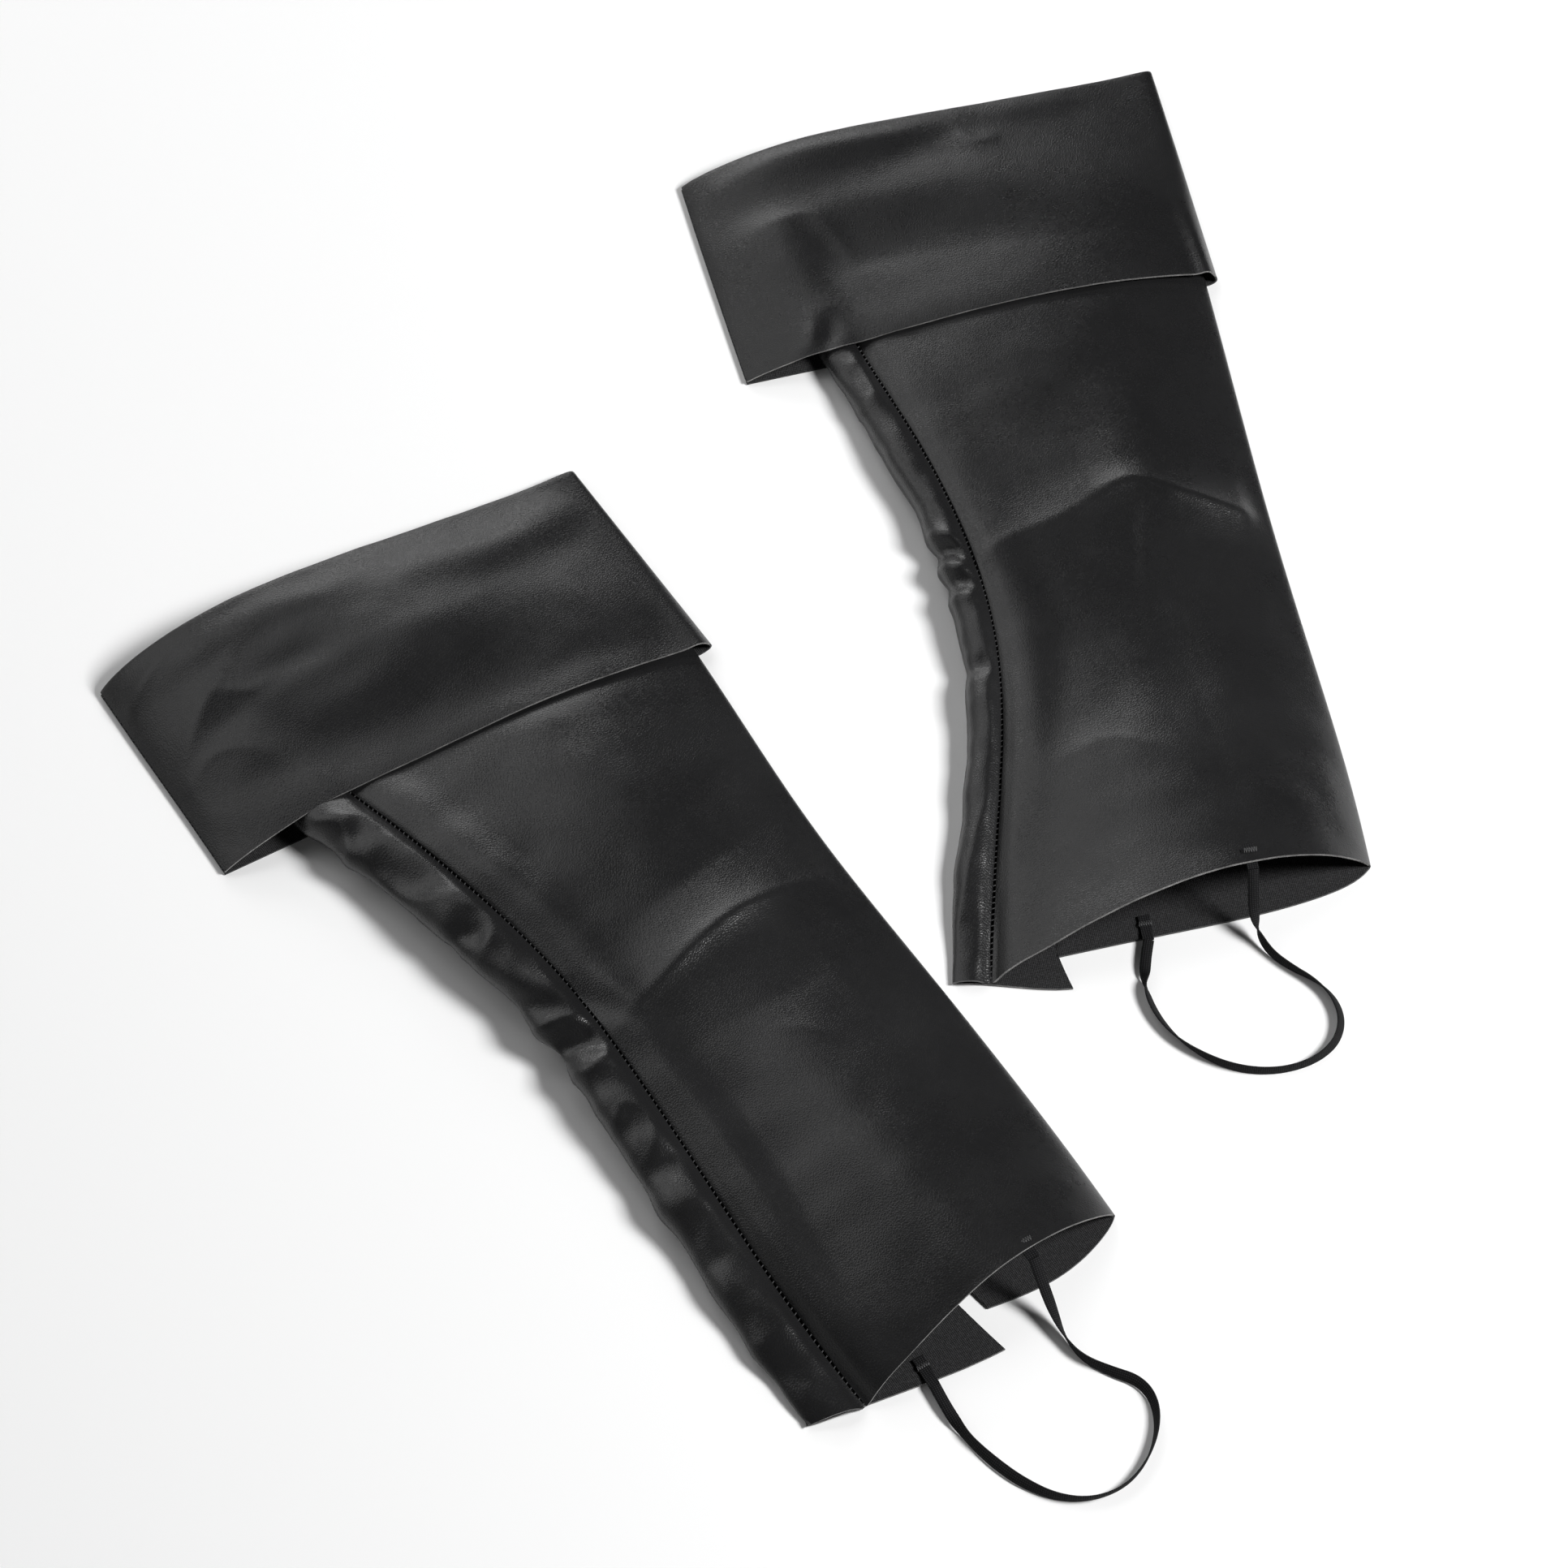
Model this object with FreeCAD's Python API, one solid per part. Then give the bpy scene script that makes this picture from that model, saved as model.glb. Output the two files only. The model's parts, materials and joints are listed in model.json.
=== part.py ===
"""A pair of cuffed slip-on gaiters, lying flat on their sides, each sewn from two leg panels and a cuff band.

Frame: X to the right, Y away from the viewer, Z up. The origin is under the middle of the pair, on the floor.
Each gaiter is drawn in its own plan: u runs across the leg from its straight front fold, v runs down the
front fold from the top of the cuff, and z is the height over the floor. Everything is in millimetres.
"""

import math
import os

import FreeCAD
import Part

# Sheet and thread
SHEET = 1.2          # thickness of the coated fabric
SEAM_GAP = 0.6       # from a seam's line to the edge of each panel
THREAD = 0.8         # side of the seam thread's square section
UNDER_SEAM_SPANS = 5  # of the leg's 7 spans: the under seam is sewn this far down
FLOOR_GAP = 0.2      # the leg's lower layer over the floor
CUFF_LIFT = 1.7      # the leg's lower layer where the cuff is under it
FOLD_HEIGHT = 2.8    # two layers at the sharp front fold
CUFF_FOLD_HEIGHT = 6.2
CUFF_SEAM_HEIGHT = 2.6
TRIM = 0.05          # cut off under the cuff, which leaves a flat face on the floor

# Where the upper layer's poles stand, from the back seam to the front fold
UPPER_SHARES = (1.0, 0.85, 0.7, 0.5, 0.3, 0.15, 0.04)

# Stirrup elastic and its tacks
ELASTIC_WIDTH = 5.0
TACK_LENGTH = 6.0
TACK_WIDTH = 3.0
TACK_HEIGHT = 1.4    # the ends of the elastic stay 3 mm clear of the hems, so that the loop can swing

# Leg rows, from the cuff's top to the hem:
# front u, front v, calf u, calf v, calf height, strip width, seam height, bulge of the upper layer,
# lower layer's height, under seam on the outer panel, under seam on the inner panel
LEFT_LEG = [
    (0.5, 2.0, 240.0, 2.0, 2.0, 26.0, 7.0, 3.0, CUFF_LIFT, 150.0, 151.2),
    (1.0, 50.0, 229.0, 50.0, 3.0, 26.0, 11.0, 6.0, CUFF_LIFT, 142.0, 143.2),
    (1.5, 95.0, 215.0, 93.0, 5.0, 26.0, 16.0, 8.0, CUFF_LIFT, 132.0, 133.2),
    (2.8, 140.0, 201.0, 140.0, 8.0, 27.0, 21.0, 7.0, CUFF_LIFT, 118.2, 119.4),
    (5.5, 195.0, 186.0, 195.0, 13.0, 25.0, 25.0, 5.0, FLOOR_GAP, 103.5, 104.7),
    (7.0, 250.0, 170.5, 255.0, 12.0, 23.5, 22.0, 4.0, FLOOR_GAP, 91.0, 92.2),
    (2.5, 330.0, 167.5, 330.0, 7.0, 22.5, 18.0, 7.0, FLOOR_GAP, 87.5, 88.7),
    (0.2, 395.0, 169.5, 405.0, 4.0, 23.0, 15.0, 11.0, FLOOR_GAP, 84.0, 85.2),
    (-0.6, 440.0, 169.5, 455.0, 2.0, 24.0, 10.0, 19.0, FLOOR_GAP, 79.5, 88.5),
    (0.0, 472.5, 166.5, 491.5, FLOOR_GAP, 25.5, 3.4, 24.0, FLOOR_GAP, 72.0, 76.0),
]
RIGHT_LEG = [
    (0.5, 2.0, 231.0, 35.0, 1.9, 24.0, 5.0, 1.0, CUFF_LIFT, 186.0, 187.2),
    (0.5, 55.0, 215.0, 82.0, 2.2, 22.0, 8.0, 5.0, CUFF_LIFT, 172.0, 173.2),
    (0.5, 105.0, 202.0, 130.0, 3.0, 19.0, 11.0, 11.0, CUFF_LIFT, 158.0, 159.2),
    (0.5, 150.0, 189.0, 175.0, 3.0, 16.0, 14.0, 12.0, CUFF_LIFT, 145.0, 146.2),
    (0.8, 205.0, 173.0, 225.0, 3.0, 15.0, 17.0, 10.0, FLOOR_GAP, 128.0, 129.2),
    (1.7, 276.0, 160.5, 292.0, 3.0, 15.0, 19.0, 7.0, FLOOR_GAP, 115.0, 116.2),
    (0.7, 340.0, 158.5, 351.0, 3.0, 15.0, 18.0, 9.0, FLOOR_GAP, 113.0, 114.2),
    (-1.2, 400.0, 172.5, 420.0, 3.0, 17.0, 14.0, 15.0, FLOOR_GAP, 124.0, 125.2),
    (-1.8, 450.0, 189.5, 475.0, 2.0, 18.0, 9.0, 26.0, FLOOR_GAP, 139.0, 146.0),
    (0.0, 486.8, 197.3, 517.0, FLOOR_GAP, 16.0, 3.4, 35.0, FLOOR_GAP, 148.0, 150.0),
]
# How far the inner panel's free hem corner stands out past the hem line, the pointed flap
LEFT_FLAP = 22.0
RIGHT_FLAP = 17.0

# How far the hem hangs below its straight line at the back seam
LEFT_SEAM_DROP = 8.0
RIGHT_SEAM_DROP = 5.0

# Cuff rows, from the turned top to the raw edge: front u, front v, calf u, calf v, height of the crown and how
# far the crown leans to the calf
LEFT_CUFF = [
    (-2.0, 0.0, 249.5, -1.0, 25.0, 2.2),
    (-3.0, 30.0, 249.0, 28.0, 26.0, 1.8),
    (-4.0, 60.0, 248.0, 57.0, 27.0, 1.5),
    (-5.0, 90.0, 247.0, 87.0, 27.0, 1.2),
    (-6.0, 121.5, 246.5, 117.0, 26.0, 0.95),
]
RIGHT_CUFF = [
    (-2.0, 0.0, 243.5, 35.0, 14.0, 2.4),
    (-3.0, 34.0, 241.0, 66.0, 18.0, 1.9),
    (-4.0, 68.0, 238.0, 98.0, 22.0, 1.4),
    (-4.5, 102.0, 235.0, 130.0, 24.0, 0.9),
    (-5.5, 138.5, 231.7, 162.5, 24.0, 0.62),
]

# Routes of the two elastics, from the upper tack to the lower one, as (u, v, z)
LEFT_ELASTIC = [
    (48.6, 482.0, 22.6), (48.9, 489.5, 14.5), (49.8, 499.5, 6.8), (51.4, 511.5, 2.7), (50.4, 524.0, 2.5),
    (43.5, 535.5, 2.5), (35.5, 545.5, 2.5), (35.0, 557.0, 2.5), (41.5, 569.0, 2.5), (53.0, 579.0, 2.5),
    (67.5, 584.5, 2.5), (82.5, 582.5, 2.5), (95.0, 574.0, 2.5), (103.5, 561.0, 2.5), (108.8, 546.5, 2.5),
    (112.0, 532.0, 2.5), (112.5, 517.0, 2.7), (111.0, 503.5, 3.2),
]
RIGHT_ELASTIC = [
    (59.3, 498.6, 31.5), (59.5, 503.0, 21.5), (59.9, 508.5, 12.0), (58.8, 516.5, 5.0), (55.0, 525.5, 2.5),
    (47.5, 534.5, 2.5), (38.5, 542.5, 2.5), (32.5, 552.5, 2.5), (31.5, 564.5, 2.5), (36.5, 575.5, 2.5),
    (47.0, 583.0, 2.5), (60.0, 586.0, 2.5), (73.5, 585.0, 2.5), (86.5, 580.0, 2.5), (98.0, 571.0, 2.5),
    (107.0, 560.0, 2.5), (112.5, 547.0, 2.5), (114.0, 533.5, 2.5), (111.5, 521.0, 2.8), (107.5, 510.0, 3.2),
]
# Middles of the tacks, on the outside of the upper layer's hem and on the inside of the lower layer's
LEFT_TACKS = [(48.6, 474.5, 26.2), (110.0, 492.5, 2.3)]
RIGHT_TACKS = [(59.3, 491.0, 35.5), (107.0, 500.5, 2.3)]

LEFT = {
    "name": "left", "corner": (-74.8, 125.3), "heading": -59.0, "leg": LEFT_LEG, "flap": LEFT_FLAP,
    "seam_drop": LEFT_SEAM_DROP, "cuff": LEFT_CUFF, "elastic": LEFT_ELASTIC, "tacks": LEFT_TACKS,
}
RIGHT = {
    "name": "right", "corner": (209.4, 381.7), "heading": -80.4, "leg": RIGHT_LEG, "flap": RIGHT_FLAP,
    "seam_drop": RIGHT_SEAM_DROP, "cuff": RIGHT_CUFF, "elastic": RIGHT_ELASTIC, "tacks": RIGHT_TACKS,
}


def place(gaiter, u, v, z):
    """A point of the gaiter's plan, in the frame of the pair."""
    turn = math.radians(gaiter["heading"])
    across = (math.sin(turn), -math.cos(turn))
    along = (math.cos(turn), math.sin(turn))
    x = gaiter["corner"][0] + u * across[0] + v * along[0]
    y = gaiter["corner"][1] + u * across[1] + v * along[1]
    return FreeCAD.Vector(x, y, z)


def spline_surface(rows):
    """A smooth surface drawn by a net of poles, which it never leaves."""
    degrees = [min(3, len(rows) - 1), min(3, len(rows[0]) - 1)]
    counts = [len(rows), len(rows[0])]
    knots = []
    mults = []
    for degree, count in zip(degrees, counts):
        spans = count - degree
        knots.append([float(k) for k in range(spans + 1)])
        mults.append([degree + 1] + [1] * (spans - 1) + [degree + 1])
    surface = Part.BSplineSurface()
    surface.buildFromPolesMultsKnots(
        rows, mults[0], mults[1], knots[0], knots[1], False, False, degrees[0], degrees[1]
    )
    return surface


def border(rows):
    """The poles along the four sides of a net."""
    return [rows[0], [row[-1] for row in rows], rows[-1], [row[0] for row in rows]]


def solid_between(front, back):
    """The closed solid between two nets of poles, with ruled faces round its border."""
    nets = [front, back] + [[side_a, side_b] for side_a, side_b in zip(border(front), border(back))]
    shell = Part.makeShell([spline_surface(net).toShape() for net in nets])
    shell.sewShape()
    solid = Part.Solid(shell)
    if solid.Volume < 0:
        solid.reverse()
    return solid


def row_frame(front_u, front_v, calf_u, calf_v):
    """A row's start, its direction across the leg and its width, in plan."""
    width = math.hypot(calf_u - front_u, calf_v - front_v)
    return (front_u, front_v), ((calf_u - front_u) / width, (calf_v - front_v) / width), width


def row_point(gaiter, frame, across, z, shift=0.0):
    """The point of a row at a distance across it, moved down the leg by shift."""
    start, direction, _ = frame
    return place(gaiter, start[0] + direction[0] * across, start[1] + direction[1] * across + shift, z)


def upper_height(share, seam_z, bulge, base):
    """Height of the upper layer's outside, from 0 at the front fold to 1 at the back seam."""
    level = (base + FOLD_HEIGHT) * (1 - share) + seam_z * share
    return level + bulge * math.sin(math.pi * share ** 0.8)


def leg_outer_panel(gaiter):
    """The upper layer, the sharp front fold and the front half of the lower layer."""
    outside = []
    inside = []
    last = len(gaiter["leg"]) - 1
    for number, row in enumerate(gaiter["leg"]):
        front_u, front_v, calf_u, calf_v, _, strip, seam_z, bulge, base, under_u, _ = row
        frame = row_frame(front_u, front_v, calf_u, calf_v)
        drop = gaiter["seam_drop"] if number == last else 0.0
        edge = frame[2] - strip - SEAM_GAP
        outer = [(edge * s, upper_height(s, seam_z, bulge, base)) for s in UPPER_SHARES]
        inner = [(across, z - SHEET) for across, z in outer]
        shifts = [drop * s ** 3 for s in UPPER_SHARES] + [0.0] * 6
        outer += [(0.0, base + FOLD_HEIGHT), (0.0, base)]
        inner += [(SHEET, base + FOLD_HEIGHT - SHEET), (SHEET, base + SHEET)]
        for share in (0.08, 0.4, 0.7, 1.0):
            outer.append((share * (under_u - SEAM_GAP), base))
            inner.append((share * (under_u - SEAM_GAP), base + SHEET))
        outside.append([row_point(gaiter, frame, *point, shift) for point, shift in zip(outer, shifts)])
        inside.append([row_point(gaiter, frame, *point, shift) for point, shift in zip(inner, shifts)])
    return solid_between(outside, inside)


def leg_inner_panel(gaiter):
    """The strip beside the back seam, the soft fold at the calf and the rest of the lower layer, with the flap."""
    outside = []
    inside = []
    last = len(gaiter["leg"]) - 1
    for number, row in enumerate(gaiter["leg"]):
        front_u, front_v, calf_u, calf_v, calf_z, strip, seam_z, _, base, _, under_u = row
        frame = row_frame(front_u, front_v, calf_u, calf_v)
        calf = frame[2]
        seam = calf - strip + SEAM_GAP
        fold_z = max(0.6 * seam_z + 0.4 * calf_z, calf_z + FOLD_HEIGHT)
        flap = gaiter["flap"] if number == last else 0.0
        drop = gaiter["seam_drop"] if number == last else 0.0
        outer = [
            (seam, seam_z), (seam + 0.55 * strip, 0.85 * seam_z + 0.15 * fold_z), (calf + 0.5, fold_z),
            (calf + 0.5, calf_z), (calf - 8.0, 0.8 * calf_z + 0.2 * base),
        ]
        inner = [
            (seam, seam_z - SHEET), (seam + 0.55 * strip - 0.4, outer[1][1] - SHEET),
            (calf + 0.5 - SHEET, fold_z - SHEET), (calf + 0.5 - SHEET, calf_z + SHEET),
            (calf - 8.0, outer[4][1] + SHEET),
        ]
        for share in (0.5, 0.2, 0.0):
            across = under_u + share * (calf - 8.0 - under_u)
            outer.append((across, base))
            inner.append((across, base + SHEET))
        shifts = [drop, 0.5 * drop, 0.0, 0.0, 0.1 * flap, 0.6 * flap, 0.9 * flap, flap]
        outside.append([row_point(gaiter, frame, *point, shift) for point, shift in zip(outer, shifts)])
        inside.append([row_point(gaiter, frame, *point, shift) for point, shift in zip(inner, shifts)])
    return solid_between(outside, inside)


def cuff_band(gaiter):
    """The band turned down outside the leg: upper layer, front fold and lower layer, closed by the side seam."""
    outside = []
    inside = []
    for front_u, front_v, calf_u, calf_v, crown, lean in gaiter["cuff"]:
        frame = row_frame(front_u, front_v, calf_u, calf_v)
        width = frame[2]
        outer = []
        for share in (1.0, 0.97, 0.88, 0.72, 0.5, 0.28, 0.12, 0.04):
            level = CUFF_FOLD_HEIGHT * (1 - share) + CUFF_SEAM_HEIGHT * share
            rise = max(0.0, math.sin(math.pi * share ** lean))
            outer.append((share * width, level + crown * rise ** 0.7))
        inner = [(across, z - SHEET) for across, z in outer]
        outer += [(0.0, CUFF_FOLD_HEIGHT), (0.0, -TRIM)]
        inner += [(SHEET, CUFF_FOLD_HEIGHT - SHEET), (SHEET, SHEET)]
        for share in (0.08, 0.4, 0.7, 1.0):
            outer.append((share * width, -TRIM))
            inner.append((share * width, SHEET))
        outside.append([row_point(gaiter, frame, across, z) for across, z in outer])
        inside.append([row_point(gaiter, frame, across, z) for across, z in inner])
    band = solid_between(outside, inside)
    box = band.BoundBox
    under = Part.makeBox(box.XLength + 20, box.YLength + 20, 5.0)
    under.translate(FreeCAD.Vector(box.XMin - 10, box.YMin - 10, -5.0))
    return band.cut(under)


def first_spans(poles, spans):
    """The poles of the first spans of the smooth curve that poles draw."""
    curve = Part.BSplineCurve()
    count = len(poles) - 3
    curve.buildFromPolesMultsKnots(
        poles, [4] + [1] * (count - 1) + [4], [float(k) for k in range(count + 1)], False, 3
    )
    curve.segment(0.0, float(spans))
    return curve.getPoles()


def thread_along(gaiter, line, spans):
    """A square thread whose middle follows the first spans of the curve with the poles (u, v, z) of line."""
    half = THREAD / 2
    run_u = line[-1][0] - line[0][0]
    run_v = line[-1][1] - line[0][1]
    length = math.hypot(run_u, run_v)
    side_u = run_v / length * half
    side_v = -run_u / length * half
    corners = []
    for side, lift in ((-1, half), (1, half), (-1, -half), (1, -half)):
        poles = [place(gaiter, u + side * side_u, v + side * side_v, z + lift) for u, v, z in line]
        corners.append(first_spans(poles, spans))
    top = [list(pair) for pair in zip(corners[0], corners[1])]
    bottom = [list(pair) for pair in zip(corners[2], corners[3])]
    return solid_between(top, bottom)


def plan_point(frame, across):
    """Plan coordinates of a row's point."""
    start, direction, _ = frame
    return start[0] + direction[0] * across, start[1] + direction[1] * across


def back_seam_thread(gaiter):
    """The thread that joins the two panels along the calf."""
    line = []
    last = len(gaiter["leg"]) - 1
    for number, row in enumerate(gaiter["leg"]):
        front_u, front_v, calf_u, calf_v, _, strip, seam_z, _, _, _, _ = row
        frame = row_frame(front_u, front_v, calf_u, calf_v)
        u, v = plan_point(frame, frame[2] - strip)
        drop = gaiter["seam_drop"] if number == last else 0.0
        line.append((u, v + drop, seam_z - SHEET / 2))
    return thread_along(gaiter, line, len(line) - 3)


def under_seam_thread(gaiter):
    """The thread of the lower layer's seam, which stops above the free flap."""
    line = []
    for front_u, front_v, calf_u, calf_v, _, _, _, _, base, outer_u, inner_u in gaiter["leg"]:
        frame = row_frame(front_u, front_v, calf_u, calf_v)
        line.append((*plan_point(frame, (outer_u - SEAM_GAP + inner_u) / 2), base + SHEET / 2))
    return thread_along(gaiter, line, UNDER_SEAM_SPANS)


def cuff_side_seam_thread(gaiter):
    """The thread that closes the cuff band at the calf."""
    line = []
    for front_u, front_v, calf_u, calf_v, _, _ in gaiter["cuff"]:
        frame = row_frame(front_u, front_v, calf_u, calf_v)
        line.append((*plan_point(frame, frame[2] + THREAD), CUFF_SEAM_HEIGHT / 2))
    return thread_along(gaiter, line, len(line) - 3)


def cuff_top_seam_thread(gaiter):
    """The thread round the leg's top edge, inside the cuff's turn: one run on each layer."""
    front_u, front_v, calf_u, calf_v, _, strip, seam_z, bulge, base, _, _ = gaiter["leg"][0]
    frame = row_frame(front_u, front_v - 2 * THREAD, calf_u, calf_v - 2 * THREAD)
    edge = frame[2] - strip
    upper = []
    lower = []
    for share in reversed(UPPER_SHARES):
        point = plan_point(frame, edge * share)
        upper.append((*point, upper_height(share, seam_z, bulge, base) - SHEET / 2))
        lower.append((*point, base + SHEET / 2))
    return Part.makeCompound([thread_along(gaiter, run, len(run) - 3) for run in (upper, lower)])


def elastic_path(points):
    """Straight runs joined by tangent arcs as large as the runs allow, and the arcs' radii."""
    edges = []
    radii = []
    here = points[0]
    for before, corner, after in zip(points, points[1:], points[2:]):
        back = before - corner
        ahead = after - corner
        half_turn = (math.pi - back.getAngle(ahead)) / 2
        reach = 0.45 * min(back.Length, ahead.Length)
        radius = reach / math.tan(half_turn)
        start = corner + back.normalize() * reach
        end = corner + ahead.normalize() * reach
        bisector = (back + ahead).normalize()
        centre = corner + bisector * (radius / math.cos(half_turn))
        middle = centre - bisector * radius
        edges.append(Part.LineSegment(here, start).toShape())
        edges.append(Part.Arc(start, middle, end).toShape())
        radii.append(round(radius, 1))
        here = end
    edges.append(Part.LineSegment(here, points[-1]).toShape())
    return Part.Wire(edges), radii


def stirrup_elastic(gaiter):
    """The free loop of elastic, as a tube as wide as the flat elastic."""
    points = [place(gaiter, *point) for point in gaiter["elastic"]]
    path, radii = elastic_path(points)
    ring = Part.Circle(points[0], points[1] - points[0], ELASTIC_WIDTH / 2)
    section = Part.Wire([ring.toShape()])
    tube = path.makePipeShell([section], True, False)
    share = tube.Volume / (math.pi * (ELASTIC_WIDTH / 2) ** 2 * path.Length)
    print(gaiter["name"], "elastic", round(path.Length, 1), "mm, radii", radii, "volume share", round(share, 4))
    return tube


def tack(gaiter, middle):
    """A bar of stitches across the end of the elastic."""
    box = Part.makeBox(TACK_LENGTH, TACK_WIDTH, TACK_HEIGHT)
    box.translate(FreeCAD.Vector(-TACK_LENGTH / 2, -TACK_WIDTH / 2, -TACK_HEIGHT / 2))
    box.rotate(FreeCAD.Vector(0, 0, 0), FreeCAD.Vector(0, 0, 1), gaiter["heading"] + 90.0)
    box.translate(place(gaiter, *middle))
    return box


def stirrup_upper_tack(gaiter):
    """The stitches on the upper layer's hem."""
    return tack(gaiter, gaiter["tacks"][0])


def stirrup_lower_tack(gaiter):
    """The stitches on the lower layer's hem."""
    return tack(gaiter, gaiter["tacks"][1])


PIECES = [
    leg_outer_panel, leg_inner_panel, cuff_band, back_seam_thread, under_seam_thread, cuff_side_seam_thread,
    cuff_top_seam_thread, stirrup_elastic, stirrup_upper_tack, stirrup_lower_tack,
]

os.makedirs("parts", exist_ok=True)
whole = FreeCAD.BoundBox()
for gaiter in (LEFT, RIGHT):
    for piece in PIECES:
        shape = piece(gaiter)
        if not shape.isValid():
            print("not valid:", gaiter["name"], piece.__name__)
        if piece is not stirrup_elastic:
            whole.add(shape.optimalBoundingBox())
        shape.exportStep("parts/" + gaiter["name"] + "_" + piece.__name__ + ".step")
print("box without the elastics", whole)
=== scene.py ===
"""Looks of a pair of cuffed slip-on gaiters of black faux leather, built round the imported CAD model.

Each gaiter is drawn in its own plan, in millimetres: u runs across the leg from its front fold, v runs down
the front fold from the top of the cuff, and z is the height over the floor. place() brings a plan to the
frame, in metres.
"""

import json
import math

import bpy
import numpy as np
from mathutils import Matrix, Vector, noise

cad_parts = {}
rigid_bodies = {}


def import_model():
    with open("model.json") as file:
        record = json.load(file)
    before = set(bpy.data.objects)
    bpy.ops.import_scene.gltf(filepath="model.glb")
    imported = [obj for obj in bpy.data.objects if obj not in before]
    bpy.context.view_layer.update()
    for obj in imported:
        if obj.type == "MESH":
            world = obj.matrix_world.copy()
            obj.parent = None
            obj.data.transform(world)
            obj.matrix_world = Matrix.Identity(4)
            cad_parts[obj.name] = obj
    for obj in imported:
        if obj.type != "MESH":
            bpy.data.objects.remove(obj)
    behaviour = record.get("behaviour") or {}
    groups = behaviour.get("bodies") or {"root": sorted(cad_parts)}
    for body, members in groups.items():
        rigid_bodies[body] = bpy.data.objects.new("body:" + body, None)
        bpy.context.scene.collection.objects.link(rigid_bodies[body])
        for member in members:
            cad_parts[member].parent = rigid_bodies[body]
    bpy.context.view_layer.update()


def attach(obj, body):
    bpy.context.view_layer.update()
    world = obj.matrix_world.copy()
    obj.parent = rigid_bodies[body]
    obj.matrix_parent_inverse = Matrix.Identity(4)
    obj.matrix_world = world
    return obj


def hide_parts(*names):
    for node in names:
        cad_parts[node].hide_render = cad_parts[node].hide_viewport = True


scene = bpy.context.scene
norm = np.linalg.norm
for stray in list(bpy.data.objects):
    bpy.data.objects.remove(stray)

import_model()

# ---------------------------------------------------------------- sizes, mm
SHEET = 1.1
CUFF_SHEET = 0.9
SEAM_GAP = 0.6
FLOOR_GAP = 0.2
CUFF_LIFT = 1.7
FOLD_HEIGHT = 2.8
CUFF_FOLD_HEIGHT = 6.2
CUFF_SEAM_HEIGHT = 2.6
ELASTIC_WIDTH = 5.0
ELASTIC_THICK = 0.9
UNDER_SEAM_SHARE = 0.72   # of the leg's length that the under seam is sewn down
STITCH_PITCH = 2.9
SEAM_START = 1.5          # from a seam's end to its first stitch
RUNNING_STITCH = 2.1      # length of a stitch that runs along its seam
CUFF_REST = 2.6           # of the cuff's outer face over the leg's, near the hem
TACK_HALF = 3.0           # half the length of a tack's bar of stitches
TACK_STITCHES = 11
GRID_STEP = 2.2
UPPER_SHARES = (1.0, 0.85, 0.7, 0.5, 0.3, 0.15, 0.04)

# Leg rows from the cuff's top to the hem: front u, front v, calf u, calf v, calf height, strip width, seam height,
# bulge, base, under seam u of each panel
LEFT_LEG = [
    (0.5, 2.0, 240.0, 2.0, 2.0, 26.0, 7.0, 3.0, CUFF_LIFT, 150.0, 151.2),
    (1.0, 50.0, 229.0, 50.0, 3.0, 26.0, 11.0, 6.0, CUFF_LIFT, 142.0, 143.2),
    (1.5, 95.0, 215.0, 93.0, 5.0, 26.0, 16.0, 8.0, CUFF_LIFT, 132.0, 133.2),
    (2.8, 140.0, 201.0, 140.0, 8.0, 27.0, 21.0, 7.0, CUFF_LIFT, 118.2, 119.4),
    (5.5, 195.0, 186.0, 195.0, 13.0, 25.0, 25.0, 5.0, FLOOR_GAP, 103.5, 104.7),
    (7.0, 250.0, 170.5, 255.0, 12.0, 23.5, 22.0, 4.0, FLOOR_GAP, 91.0, 92.2),
    (2.5, 330.0, 167.5, 330.0, 7.0, 22.5, 18.0, 7.0, FLOOR_GAP, 87.5, 88.7),
    (0.2, 395.0, 169.5, 405.0, 4.0, 23.0, 15.0, 11.0, FLOOR_GAP, 84.0, 85.2),
    (-0.6, 440.0, 169.5, 455.0, 2.0, 24.0, 10.0, 19.0, FLOOR_GAP, 79.5, 88.5),
    (0.0, 472.5, 166.5, 491.5, FLOOR_GAP, 25.5, 3.4, 24.0, FLOOR_GAP, 72.0, 76.0),
]
RIGHT_LEG = [
    (0.5, 2.0, 231.0, 35.0, 1.9, 24.0, 5.0, 1.0, CUFF_LIFT, 186.0, 187.2),
    (0.5, 55.0, 215.0, 82.0, 2.2, 22.0, 8.0, 5.0, CUFF_LIFT, 172.0, 173.2),
    (0.5, 105.0, 202.0, 130.0, 3.0, 19.0, 11.0, 11.0, CUFF_LIFT, 158.0, 159.2),
    (0.5, 150.0, 189.0, 175.0, 3.0, 16.0, 14.0, 12.0, CUFF_LIFT, 145.0, 146.2),
    (0.8, 205.0, 173.0, 225.0, 3.0, 15.0, 17.0, 10.0, FLOOR_GAP, 128.0, 129.2),
    (1.7, 276.0, 160.5, 292.0, 3.0, 15.0, 19.0, 7.0, FLOOR_GAP, 115.0, 116.2),
    (0.7, 340.0, 158.5, 351.0, 3.0, 15.0, 18.0, 9.0, FLOOR_GAP, 113.0, 114.2),
    (-1.2, 400.0, 172.5, 420.0, 3.0, 17.0, 14.0, 15.0, FLOOR_GAP, 124.0, 125.2),
    (-1.8, 450.0, 189.5, 475.0, 2.0, 18.0, 9.0, 26.0, FLOOR_GAP, 141.0, 161.0),
    (0.0, 486.8, 197.3, 517.0, FLOOR_GAP, 16.0, 3.4, 35.0, FLOOR_GAP, 152.0, 147.0),
]
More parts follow.
